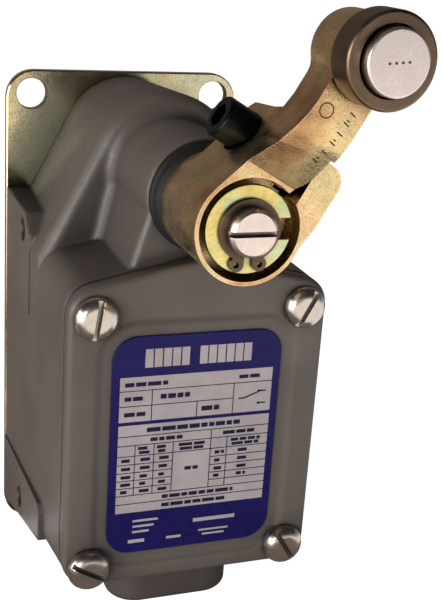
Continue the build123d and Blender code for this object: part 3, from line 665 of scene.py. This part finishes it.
def slab_box(bm: bmesh.types.BMesh, x0: float, x1: float, z0: float, z1: float, y0: float, y1: float,
             material: int = 0) -> None:
    """Add a box.

    Args:
        bm: Mesh to add to.
        x0: Lowest X in millimetres.
        x1: Highest X.
        z0: Lowest Z.
        z1: Highest Z.
        y0: Lowest Y.
        y1: Highest Y.
        material: Material index of the box.
    """
    made = bmesh.ops.create_cube(bm, size=1.0)
    scale = Matrix.Diagonal(((x1 - x0) * MM, (y1 - y0) * MM, (z1 - z0) * MM, 1))
    shift = Matrix.Translation(Vector(((x0 + x1) / 2, (y0 + y1) / 2, (z0 + z1) / 2)) * MM)
    bmesh.ops.transform(bm, matrix=shift @ scale, verts=made["verts"])
    for face in {f for v in made["verts"] for f in v.link_faces}:
        face.material_index = material


def millimetres(node: str) -> tuple[Vector, Vector]:
    """Box of a CAD node in millimetres.

    Args:
        node: Name of the node.

    Returns:
        Its lowest and highest corner.
    """
    low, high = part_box(node)
    return low / MM, high / MM


# ----- Sub-assemblies -----


@dataclass
class MountingPlate:
    """Flat plate with rounded corners, four corner holes and four screw holes."""

    corner: float = 7.5
    hole: float = 4.15
    hole_x: float = 26.2
    hole_z: float = 61.9
    screw_hole: float = 4.35
    screw_head: float = 4.1
    edge: float = 0.35

    def build(self) -> bpy.types.Object:
        """Build the plate in place of its CAD node.

        Returns:
            The plate.
        """
        low, high = millimetres("mounting_plate")
        screws_low, screws_high = millimetres("plate_screws")
        screw_x = screws_high.x - self.screw_head
        places = [((sx * self.hole_x, sz * self.hole_z), self.hole) for sx in (-1, 1) for sz in (-1, 1)]
        places += [((sx * screw_x, z), self.screw_hole) for sx in (-1, 1)
                   for z in (screws_low.z + self.screw_head, screws_high.z - self.screw_head)]
        bm = bmesh.new()
        layers = []
        for y, inset in ((high.y, self.edge), (high.y - self.edge, 0), (low.y + self.edge, 0),
                         (low.y, self.edge)):
            outer = loop_of(bm, round_rect(high.x - low.x - 2 * inset, high.z - low.z - 2 * inset,
                                           self.corner - inset), y)
            holes = [loop_of(bm, circle(radius + 0.6 * inset, centre), y) for centre, radius in places]
            layers.append([outer, *holes])
        for first, second in zip(layers, layers[1:], strict=False):
            for a, b in zip(first, second, strict=True):
                skin(bm, a, b)
        cap(bm, layers[0])
        cap(bm, layers[-1])
        return close_piece(bm, "plate_visual", Body.ENCLOSURE, ["plate_steel"],
                           "mounting_plate")


@dataclass
class FrontCover:
    """Gabled cover with rounded rim and a softly sunk field for the rating plate."""

    corner: float = 7.0
    gable: float = math.tan(math.radians(13))
    rim: float = 1.3
    lip: float = 1.1
    margin: float = 3.3
    depth: float = 0.8
    field_corner: float = 8.5

    def outline(self, inset: float) -> list[Point]:
        """Outline of the cover moved inwards.

        Args:
            inset: Distance inwards in millimetres.

        Returns:
            The points, with the same count for every inset.
        """
        low, high = millimetres("cover")
        half = high.x
        slope = math.atan(self.gable)
        apex = high.z + self.corner * (1 / math.cos(slope) - 1)
        shoulder = apex - half * self.gable
        turn = math.pi / 2 - slope
        reach = self.corner * math.tan(turn / 2)
        right = ((half - self.corner, shoulder - reach), 0, turn)
        crown = ((0, apex - self.corner / math.cos(slope)), turn, math.pi - turn)
        left = ((-half + self.corner, shoulder - reach), math.pi - turn, math.pi)
        low_left = ((-half + self.corner, low.z + self.corner), math.pi, 1.5 * math.pi)
        low_right = ((half - self.corner, low.z + self.corner), 1.5 * math.pi, 2 * math.pi)
        points = []
        for (cx, cz), start, end in (right, crown, left, low_left, low_right):
            for step in range(9):
                a = start + (end - start) * step / 8
                radius = self.corner - inset
                points.append((cx + radius * math.cos(a), cz + radius * math.sin(a)))
        return points

    def build(self) -> bpy.types.Object:
        """Build the cover in place of its CAD node.

        Returns:
            The cover.
        """
        low, high = millimetres("cover")
        plate_low, plate_high = millimetres("nameplate")
        centre = (0.0, (plate_low.z + plate_high.z) / 2)
        width = plate_high.x - plate_low.x + 2 * self.margin
        height = plate_high.z - plate_low.z + 2 * self.margin
        bm = bmesh.new()
        rings = [loop_of(bm, self.outline(0), high.y)]
        for step in range(6):
            a = math.radians(90 * step / 5)
            rings.append(loop_of(bm, self.outline(self.rim * (1 - math.cos(a))),
                                 low.y + self.rim * (1 - math.sin(a))))
        field_rings = []
        for step in range(9):
            share = step / 8
            ease = share * share * (3 - 2 * share)
            grow = self.lip * (1 - 2 * share)
            edge = round_rect(width + 2 * grow, height + 2 * grow, self.field_corner + grow, centre)
            field_rings.append(loop_of(bm, edge, low.y + self.depth * ease))
        for first, second in zip(rings, rings[1:], strict=False):
            skin(bm, first, second)
        for first, second in zip(field_rings, field_rings[1:], strict=False):
            skin(bm, first, second)
        cap(bm, [rings[0]])
        cap(bm, [rings[-1], field_rings[0]])
        cap(bm, [field_rings[-1]])
        return close_piece(bm, "cover_visual", Body.ENCLOSURE, ["grey_enamel"],
                           "cover", COVER_SMOOTH_LIMIT)


@dataclass
class RatingPlate:
    """Printed plate: a headline of plain blocks, a ruled table with greeked entries and a contact symbol."""

    corner: float = 6.0
    ink: float = 0.05
    line: float = 0.2
    break_edge: float = 0.12
    headline_box: tuple[float, float, float, float] = (7.6, 34.4, 3.2, 7.8)
    blocks: int = 12
    word_gap: int = 5
    table_left: float = 1.9
    table_right: float = 40.1
    seed: int = 11

    def __post_init__(self) -> None:
        """Read the place of the plate from its CAD node."""
        self.low, self.high = millimetres("nameplate")
        self.random = random.Random(self.seed)
        self.bm = bmesh.new()

    def mark(self, u0: float, u1: float, v0: float, v1: float, material: int, level: int = 1) -> None:
        """Print one rectangle.

        Args:
            u0: Left edge, in millimetres from the plate's left edge.
            u1: Right edge.
            v0: Top edge, in millimetres below the plate's top edge.
            v1: Bottom edge.
            material: Index of the ink.
            level: Ink layer, so that later print lies on earlier print.
        """
        front = self.low.y - level * self.ink
        slab_box(self.bm, self.low.x + u0, self.low.x + u1, self.high.z - v1, self.high.z - v0, front,
                 self.low.y + 0.1, material)

    def words(self, u0: float, u1: float, v: float, height: float, material: int = 1) -> None:
        """Fill a line with greeked words: short bars of uneven length.

        Args:
            u0: Start of the line, in millimetres from the plate's left edge.
            u1: End of the line.
            v: Middle of the line, in millimetres below the plate's top edge.
            height: Height of the bars.
            material: Index of the ink.
        """
        at = u0
        while at < u1 - 0.6:
            width = min(self.random.uniform(1.2, 3.4), u1 - at)
            self.mark(at, at + width, v - height / 2, v + height / 2, material, 3)
            at += width + 0.45

    def rule(self, u0: float, u1: float, v0: float, v1: float) -> None:
        """Draw one thin table line; a line has the same start and end in one direction."""
        half = self.line / 2
        self.mark(u0 - (half if u0 == u1 else 0), u1 + (half if u0 == u1 else 0),
                  v0 - (half if v0 == v1 else 0), v1 + (half if v0 == v1 else 0), 1, 2)

    def headline(self) -> None:
        """Two groups of plain white blocks."""
        left, right, top, bottom = self.headline_box
        pitch = (right - left) / self.blocks
        for i in range(self.blocks):
            if i != self.word_gap:
                self.mark(left + i * pitch + 0.16, left + (i + 1) * pitch - 0.16, top, bottom, 0)

    def upper_table(self) -> None:
        """Three ruled rows with a symbol cell on the right."""
        u0, u1 = self.table_left, self.table_right
        self.mark(u0, u1, 10.0, 21.4, 0)
        for v in (13.5, 17.4):
            self.rule(u0, u0 + 28.4, v, v)
        self.rule(u0 + 28.4, u1, 13.5, 13.5)
        for u, top in ((7.9, 13.5), (28.4, 13.5), (19.2, 17.4)):
            self.rule(u0 + u, u0 + u, top, 21.4)
        entries = ((1.2, 11.6, 11.9, 1.0), (29.6, 35.5, 11.9, 0.9), (1.2, 6.4, 15.5, 1.0),
                   (1.2, 6.4, 19.5, 1.0), (10.0, 17.2, 15.4, 1.2), (20.4, 25.6, 19.4, 1.2))
        for left, right, v, height in entries:
            self.words(u0 + left, u0 + right, v, height)
        self.contact_symbol(u0 + 29.8, 17.6)

    def contact_symbol(self, u: float, v: float) -> None:
        """Generic changeover contact: a pivot with a slanting blade between two fixed contacts.

        Args:
            u: Place of the pivot, in millimetres from the plate's left edge.
            v: Place of the pivot, in millimetres below the plate's top edge.
        """
        self.mark(u, u + 1.3, v - 0.16, v + 0.16, 1, 3)
        for rise in (-1.6, 1.6):
            self.mark(u + 5.2, u + 7.0, v + rise - 0.16, v + rise + 0.16, 1, 3)
            self.mark(u + 4.9, u + 5.4, v + rise - 0.3, v + rise + 0.3, 1, 3)
        for step in range(14):
            left, rise = u + 1.3 + 0.26 * step, v - 0.1 * step
            self.mark(left, left + 0.32, rise - 0.16, rise + 0.16, 1, 3)

    def lower_table(self) -> None:
        """Ratings grid with short greeked entries."""
        u0, u1 = self.table_left, self.table_right
        self.mark(u0, u1, 22.3, 45.6, 0)
        for v in (25.2, 27.6, 30.4, 40.9, 43.2):
            self.rule(u0, u1, v, v)
        for u, top in ((23.4, 25.2), (4.3, 27.6), (9.0, 27.6), (13.8, 27.6), (27.6, 27.6)):
            self.rule(u0 + u, u0 + u, top, 40.9)
        for v in (32.6, 34.8, 36.9, 38.9):
            self.rule(u0, u0 + 13.8, v, v)
            self.rule(u0 + 23.4, u1, v, v)
        self.words(u0 + 7.0, u1 - 7.0, 23.8, 1.1)
        self.words(u0 + 8.0, u0 + 16.0, 26.4, 0.9)
        self.words(u0 + 26.4, u0 + 34.6, 26.4, 0.9)
        for u, width in ((5.0, 3.2), (9.7, 3.2), (15.2, 6.6), (28.6, 7.6)):
            self.words(u0 + u, u0 + u + width, 28.5, 0.75)
            self.words(u0 + u + 0.3, u0 + u + width - 0.3, 29.6, 0.75)
        for v in (31.5, 33.7, 35.9, 37.9, 39.9):
            for u in (1.0, 5.7, 10.4, 24.6, 30.6):
                if u > 20 and v > 38:
                    continue
                self.words(u0 + u, u0 + u + 2.4, v, 0.8)
        for left, right, v in ((17.0, 20.4, 35.0), (11.6, 30.0, 42.1), (11.6, 28.0, 44.4)):
            self.words(u0 + left, u0 + right, v, 0.9)

    def foot(self) -> None:
        """A few plain white bars in the blue foot."""
        bars = [(22.0, 33.0, 49.3, 50.3), (23.6, 31.4, 52.6, 53.1), (24.6, 30.4, 53.8, 54.3)]
        for row, right in enumerate((12.8, 11.8, 10.6)):
            bars.append((6.4, right, 47.8 + row * 1.5, 48.4 + row * 1.5))
        bars += [(15.2, 19.0, 53.4, 54.1), (5.4, 9.6, 53.2, 54.1)]
        for bar in bars:
            self.mark(*bar, 0)

    def build(self) -> list[bpy.types.Object]:
        """Build the plate and its print in place of the CAD node.

        Returns:
            The plate and the print.
        """
        base = bmesh.new()
        width, height = self.high.x - self.low.x, self.high.z - self.low.z
        centre = ((self.low.x + self.high.x) / 2, (self.low.z + self.high.z) / 2)
        levels = ((self.high.y, 0), (self.low.y + self.break_edge, 0), (self.low.y, self.break_edge))
        loops = []
        for y, inset in levels:
            edge = round_rect(width - 2 * inset, height - 2 * inset, self.corner - inset, centre)
            loops.append(loop_of(base, edge, y))
        for first, second in zip(loops, loops[1:], strict=False):
            skin(base, first, second)
        cap(base, [loops[0]])
        cap(base, [loops[-1]])
        plate = close_piece(base, "rating_plate_visual", Body.ENCLOSURE, ["nameplate_blue"],
                            "nameplate")
        self.headline()
        self.upper_table()
        self.lower_table()
        self.foot()
        printed = close_piece(self.bm, "rating_plate_print", Body.ENCLOSURE, ["print_white", "print_dark"])
        return [plate, printed]


@dataclass
class ShaftSeal:
    """Moulded rubber seal with two lips."""

    inner: float = 5.3
    radius: float = 13.0

    def build(self) -> bpy.types.Object:
        """Build the seal in place of its CAD node.

        Returns:
            The seal.
        """
        low, high = millimetres("shaft_seal")
        centre = Vector(((low.x + high.x) / 2, 0, (low.z + high.z) / 2))
        profile = [(self.inner, 0), (self.radius - 0.5, 0), (self.radius, 0.5), (self.radius, 1.7),
                   (self.radius - 0.35, 2.1), (self.radius - 1.0, 2.3), (self.radius - 1.0, 2.7),
                   (self.radius - 0.4, 2.95), (self.radius - 0.15, 3.4), (self.radius - 0.35, 4.3),
                   (self.radius - 0.9, 5.0), (self.radius - 1.8, 5.4), (self.radius - 3.4, 5.55),
                   (self.inner, 5.55)]
        bm = bmesh.new()
        place = Matrix.Translation(Vector((centre.x, high.y, centre.z)) * MM) @ Axis.FRONT.value
        turned(bm, profile, place, 72)
        return close_piece(bm, "seal_visual", Body.ENCLOSURE, ["black_rubber"],
                           "shaft_seal")


@dataclass
class CoverGasket:
    """Rubber gasket between the cover and the enclosure."""

    band: float = 3.6
    squeeze: float = 0.14

    def build(self) -> bpy.types.Object:
        """Build the gasket in place of its CAD node.

        Returns:
            The gasket.
        """
        low, high = millimetres("cover_gasket")
        shape = FrontCover()
        bm = bmesh.new()
        rings = []
        for y, inset in ((high.y, 0.3), (high.y - 0.2, self.squeeze), (low.y + 0.2, self.squeeze),
                         (low.y, 0.3), (low.y, self.band), (high.y, self.band)):
            rings.append(loop_of(bm, shape.outline(inset), y))
        for first, second in zip(rings, rings[1:] + rings[:1], strict=True):
            skin(bm, first, second)
        return close_piece(bm, "gasket_visual", Body.ENCLOSURE, ["black_rubber"],
                           "cover_gasket")


@dataclass
class ConduitThread:
    """Thread ridges on the wall of the conduit entry."""

    pitch: float = 1.8
    depth: float = 0.45
    turns: int = 8

    def build(self, entry: dict) -> bpy.types.Object:
        """Build the ridges inside the entry.

        Args:
            entry: The mount of the conduit entry, with its place and wall radius.

        Returns:
            The ridges.
        """
        place = Vector(entry["pos_m"])
        radius = entry["dims"]["r_mm"]
        bm = bmesh.new()
        for turn in range(self.turns):
            h = (turn - self.turns / 2) * self.pitch
            profile = [(radius - 0.02, h), (radius - self.depth, h + 0.4 * self.pitch),
                       (radius - self.depth, h + 0.5 * self.pitch), (radius - 0.02, h + 0.9 * self.pitch)]
            turned(bm, profile, Matrix.Translation(place) @ Axis.UP.value, 56)
        return close_piece(bm, "conduit_thread", Body.ENCLOSURE, ["grey_enamel"])


@dataclass(frozen=True)
class CarriageSpring:
    """Compression spring under the carriage, wound between its seat and the carriage."""

    turns: int = 6
    wire: float = 0.45
    seated: float = 1.0
    steps: int = 30
    sides: int = 10

    def build(self) -> bpy.types.Object:
        """Wind the spring between its seat and the carriage.

        Returns:
            The finished spring.
        """
        low, high = millimetres("carriage_spring")
        middle = (low + high) / 2
        radius = (high.x - low.x) / 2 - self.wire
        count = self.turns * self.steps
        bm = bmesh.new()
        rings: list[list[bmesh.types.BMVert]] = []
        for i in range(count + 1):
            a = math.tau * i / self.steps
            out = Vector((math.cos(a), math.sin(a), 0))
            z = low.z + self.wire + (high.z - low.z - 2 * self.wire) * i / count
            spot = Vector((middle.x, middle.y, z)) + radius * out
            ring = []
            for k in range(self.sides):
                b = math.tau * k / self.sides
                around = math.cos(b) * out + Vector((0, 0, math.sin(b)))
                ring.append(bm.verts.new((spot + self.wire * around) * MM))
            rings.append(ring)
        for first, second in zip(rings, rings[1:], strict=False):
            skin(bm, first, second)
        bm.faces.new(rings[0])
        bm.faces.new(rings[-1])
        spring = close_piece(bm, "carriage_spring_coils", None, ["spring_steel"],
                             "carriage_spring")
        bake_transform(spring)
        return spring


class StampedMarks:
    """Plain stamped marks that follow the face they are struck into."""

    def __init__(self, struck: bpy.types.Object) -> None:
        """Prepare to find the face of an object.

        Args:
            struck: Object that carries the marks.
        """
        graph = bpy.context.evaluated_depsgraph_get()
        self.tree = BVHTree.FromObject(struck, graph)
        self.bm = bmesh.new()

    def surface(self, x: float, z: float) -> Vector:
        """Point of the front face at X and Z, in millimetres."""
        hit = self.tree.ray_cast(Vector((x, -400, z)) * MM, Vector((0, 1, 0)))
        return hit[0] / MM

    def stroke(self, path: Sequence[Point], width: float) -> None:
        """Lay one flat groove along a path.

        Args:
            path: X and Z of each point in millimetres.
            width: Width of the groove in millimetres.
        """
        previous = None
        for i, (x, z) in enumerate(path):
            ahead = Vector(path[min(i + 1, len(path) - 1)]) - Vector(path[max(i - 1, 0)])
            side = Vector((-ahead.y, ahead.x)).normalized() * width / 2
            row = []
            for share, lift in ((-1, 0.0), (-0.45, 0.035), (0.45, 0.035), (1, 0.0)):
                spot = self.surface(x + share * side.x, z + share * side.y)
                row.append(self.bm.verts.new((spot + Vector((0, -lift, 0))) * MM))
            if previous:
                for k in range(3):
                    self.bm.faces.new((previous[k], previous[k + 1], row[k + 1], row[k]))
            previous = row

    def finish(self, name: str, body: Body, slot: str) -> bpy.types.Object:
        """Close the set of marks.

        Args:
            name: Name of the object.
            body: Body it rides on.
            slot: Not used.

        Returns:
            The marks.
        """
        return close_piece(self.bm, name, body, ["stamped_shadow"])


def strike_lever(frame: dict) -> None:
    """Strike a ring and a row of ticks into the arm and four dots into the pin head.
    """
    roller = next(j for j in frame["record"]["behaviour"]["joints"] if j["name"] == "roller_spin")
    shaft = next(j for j in frame["record"]["behaviour"]["joints"] if j["name"] == "shaft_turn")
    tip = Vector((roller["pos_m"][0], roller["pos_m"][2])) / MM
    hub = Vector((shaft["pos_m"][0], shaft["pos_m"][2])) / MM
    along = (tip - hub).normalized()
    across = Vector((-along.y, along.x))
    arm = StampedMarks(frame["nodes"]["lever_arm"])
    centre = hub + 28.2 * along + 2.6 * across
    arm.stroke([tuple(centre + 1.5 * Vector((math.cos(math.radians(a)), math.sin(math.radians(a)))))
                for a in range(0, 361, 20)], 0.3)
    for step in range(6):
        at = hub + (30.4 - 2.3 * step) * along + (-2.9 + 0.12 * step) * across
        lean = 0.75 * across + 0.12 * along
        arm.stroke([tuple(at + share * lean) for share in (-1, -0.5, 0, 0.5, 1)], 0.32)
        if step % 2:
            arm.stroke([tuple(at + 0.75 * along + share * 0.4 * across) for share in (-1, 0, 1)], 0.28)
    arm.finish("arm_marks", Body.LEVER, "gold_dichromate")
    head = StampedMarks(frame["nodes"]["roller_pin"])
    for step in range(4):
        at = tip + Vector((-2.1 + 1.4 * step, -0.1 + 0.12 * step))
        head.stroke([(at.x - 0.26, at.y), (at.x + 0.26, at.y + 0.04)], 0.5)
    head.finish("pin_marks", Body.LEVER, "bright_steel")


# ----- Studio -----


def stage_mesh(bm: bmesh.types.BMesh, name: str, base: Colour, glow: Colour, strength: float,
               specular: float) -> bpy.types.Object:
    """Turn a bmesh into a glowing studio surface that is no part of the switch.

    Args:
        bm: Geometry in metres. It is freed.
        name: Name of the object and its material.
        base: Base colour.
        glow: Colour of the emitted light.
        strength: Strength of the emitted light.
        specular: Specular level.

    Returns:
        The staged object.
    """
    mesh = bpy.data.meshes.new(name)
    bm.to_mesh(mesh)
    bm.free()
    for polygon in mesh.polygons:
        polygon.use_smooth = True
    g = Graph(name)
    g.feed(g.shader, "Base Color", (*base, 1))
    g.feed(g.shader, "Roughness", 0.9)
    g.feed(g.shader, "Specular IOR Level", specular)
    g.feed(g.shader, "Emission Color", (*glow, 1))
    g.feed(g.shader, "Emission Strength", strength)
    mesh.materials.append(g.material)
    surface = bpy.data.objects.new(name, mesh)
    bpy.context.scene.collection.objects.link(surface)
    surface.visible_diffuse = False
    surface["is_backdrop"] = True
    return surface


@dataclass(frozen=True)
class SoftBox:
    """One rectangular area light aimed at a point."""

    name: str
    place: tuple[float, float, float]
    aim: tuple[float, float, float]
    width: float
    height: float
    power: float
    colour: Colour = (1.0, 1.0, 1.0)

    def build(self) -> bpy.types.Object:
        """Put the light in the scene.

        Returns:
            The light object.
        """
        data = bpy.data.lights.new(self.name, "AREA")
        data.shape = "RECTANGLE"
        data.size = self.width
        data.size_y = self.height
        data.energy = self.power
        data.color = self.colour
        light = bpy.data.objects.new(self.name, data)
        light.location = self.place
        light.rotation_euler = (Vector(self.aim) - Vector(self.place)).to_track_quat("-Z", "Y").to_euler()
        bpy.context.scene.collection.objects.link(light)
        return light


@dataclass(frozen=True)
class Card:
    """Card that sets what the metal mirrors, dark or bright by its glow; only reflections see it."""

    name: str
    place: tuple[float, float, float]
    aim: tuple[float, float, float]
    width: float
    height: float
    glow: Colour = (0.16, 0.125, 0.11)

    def build(self) -> bpy.types.Object:
        """Put the card in the scene, seen only in reflections.

        Returns:
            The card.
        """
        turn = (Vector(self.aim) - Vector(self.place)).to_track_quat("Z", "Y").to_matrix().to_4x4()
        bm = bmesh.new()
        bmesh.ops.create_grid(bm, x_segments=1, y_segments=1, size=0.5)
        bmesh.ops.scale(bm, vec=(self.width, self.height, 1), verts=bm.verts)
        bmesh.ops.transform(bm, matrix=Matrix.Translation(self.place) @ turn, verts=bm.verts)
        card = stage_mesh(bm, self.name, (0, 0, 0), self.glow, 1.0, 0.0)
        card.visible_camera = False
        card.visible_shadow = False
        return card


@dataclass
class Studio:
    """Pale sweep, soft lights, cards and the camera."""

    floor_z: float
    air_low: float = 0.36
    air_high: float = 0.035
    air_fade_height: float = 0.32
    lens: float = 66.42
    camera_place: tuple[float, float, float] = (-83.5, -305.9, 108.7)
    camera_right: tuple[float, float, float] = (0.9388, -0.3379, 0.0656)
    camera_ahead: tuple[float, float, float] = (0.3407, 0.8841, -0.3199)
    reach: float = 2.4
    bend: float = 0.5
    boxes: list[SoftBox] = field(default_factory=list)
    cards: list[Card] = field(default_factory=list)

    def backdrop(self) -> bpy.types.Object:
        """Floor that curves up into a back wall.

        Returns:
            The backdrop object.
        """
        bm = bmesh.new()
        spots = [Vector((0, -self.reach, self.floor_z)), Vector((0, self.reach - self.bend, self.floor_z))]
        for step in range(1, 17):
            a = math.radians(90 * step / 16)
            spots.append(Vector((0, self.reach - self.bend + self.bend * math.sin(a),
                                 self.floor_z + self.bend * (1 - math.cos(a)))))
        spots.append(Vector((0, self.reach, self.floor_z + 2 * self.reach)))
        left = [bm.verts.new(p + Vector((-self.reach, 0, 0))) for p in spots]
        right = [bm.verts.new(p + Vector((self.reach, 0, 0))) for p in spots]
        for i in range(len(spots) - 1):
            bm.faces.new((left[i], right[i], right[i + 1], left[i + 1]))
        return stage_mesh(bm, "backdrop", (0.9, 0.9, 0.9), (1, 1, 1), 0.95, 0.5)

    def world(self) -> None:
        """Pale surround light that weakens towards the top."""
        world = bpy.data.worlds.new("studio_air")
        world.use_nodes = True
        tree = world.node_tree
        back = tree.nodes["Background"]
        back.inputs["Color"].default_value = (1.0, 0.985, 0.97, 1)
        sight = tree.nodes.new("ShaderNodeTexCoord")
        split = tree.nodes.new("ShaderNodeSeparateXYZ")
        fade = tree.nodes.new("ShaderNodeMapRange")
        for key, value in (("From Min", 0.0), ("From Max", self.air_fade_height), ("To Min", self.air_low),
                           ("To Max", self.air_high)):
            fade.inputs[key].default_value = value
        tree.links.new(sight.outputs["Generated"], split.inputs[0])
        tree.links.new(split.outputs["Z"], fade.inputs["Value"])
        tree.links.new(fade.outputs["Result"], back.inputs["Strength"])
        bpy.context.scene.world = world

    def camera(self) -> None:
        """Long-lens camera in front, to the left and slightly above."""
        data = bpy.data.cameras.new("camera")
        data.lens = self.lens
        data.sensor_width = 36.0
        data.clip_end = 20.0
        camera = bpy.data.objects.new("camera", data)
        right = Vector(self.camera_right).normalized()
        ahead = Vector(self.camera_ahead).normalized()
        up = right.cross(ahead).normalized()
        turn = Matrix((right, up, -ahead)).transposed().to_4x4()
        camera.matrix_world = Matrix.Translation(Vector(self.camera_place) * MM) @ turn
        bpy.context.scene.collection.objects.link(camera)
        bpy.context.scene.camera = camera

    def build(self) -> None:
        """Set up the whole studio."""
        self.backdrop()
        self.world()
        for thing in [*self.boxes, *self.cards]:
            thing.build()
        self.camera()
        bpy.context.scene.view_settings.view_transform = "Standard"


class CadDresser:
    """Gives the CAD nodes that stay in view their finishes and softened edges."""

    def __init__(self, frame: dict) -> None:
        """Keep the frame.
        """
        self.nodes: dict[str, bpy.types.Object] = frame["nodes"]
        self.slots = {part["node"]: part["material_slot"] for part in frame["record"]["subparts"]}

    def dress(self, node: str, finish: str, bevel: float = 0.0) -> None:
        """Paint a node and soften its edges.

        Args:
            node: Name of the CAD node.
            finish: Key of the finish.
            bevel: Width of the edge rounding in metres, or 0 for none.
        """
        piece = self.nodes[node]
        if not piece.material_slots:
            piece.data.materials.append(None)
        for held in piece.material_slots:
            held.material = PAINTS.get(finish)
        weld = piece.modifiers.new("weld", "WELD")
        weld.merge_threshold = 0.000002
        if bevel:
            round_off = piece.modifiers.new("bevel", "BEVEL")
            round_off.width = bevel
            round_off.segments = 3
            round_off.limit_method = "ANGLE"
            round_off.angle_limit = math.radians(38)
            round_off.harden_normals = False
            round_off.use_clamp_overlap = True

    def dress_all(self, bevels: dict[str, float]) -> None:
        """Paint every node with the finish of its slot.

        Args:
            bevels: Edge rounding of the nodes that get one.
        """
        special = {"notched_washer": "washer_dichromate", "shaft_circlip": "circlip_steel"}
        for node in sorted(self.nodes):
            self.dress(node, special.get(node, self.slots[node]), bevels.get(node, 0.0))
            LOG.info("dressed %s", node)


def main() -> None:
    """Build the scene in order."""
    logging.basicConfig(level=logging.INFO, format="%(message)s")
    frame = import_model()
    cad_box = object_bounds()
    dresser = CadDresser(frame)
    dresser.dress_all(EDGE_ROUNDING)
    MountingPlate().build()
    FrontCover().build()
    RatingPlate().build()
    ShaftSeal().build()
    CoverGasket().build()
    entry = next(m for m in frame["record"]["mounts"] if m["name"] == "conduit_entry")
    ConduitThread().build(entry)
    CarriageSpring().build()
    strike_lever(frame)
    floor_z = cad_box[0][2]
    studio = Studio(floor_z=floor_z, boxes=[
        SoftBox("key_left", (-0.95, -0.15, 0.12), (0, -0.05, 0), 0.6, 0.6, 3.0),
        SoftBox("key_front", (-0.75, -0.8, 0.08), (0, -0.05, 0), 0.6, 0.5, 8.5, (1.0, 0.98, 0.95)),
    ], cards=[
        Card("back_card", (-0.1, 0.62, 0.55), (-0.1, 0, 0.55), 2.4, 1.4),
        Card("back_floor_card", (-0.15, 0.3, floor_z + 0.002), (-0.15, 0.3, 1.0), 2.2, 0.62),
        Card("near_floor_card", (-0.08, -0.12, floor_z + 0.002), (-0.08, -0.12, 1.0), 0.34, 0.2),
        Card("front_floor_card", (0.2, -0.62, floor_z + 0.002), (0.2, -0.62, 1.0), 0.9, 0.8,
             (1.22, 1.12, 1.02)),
    ])
    studio.build()


if __name__ == "__main__":
    main()
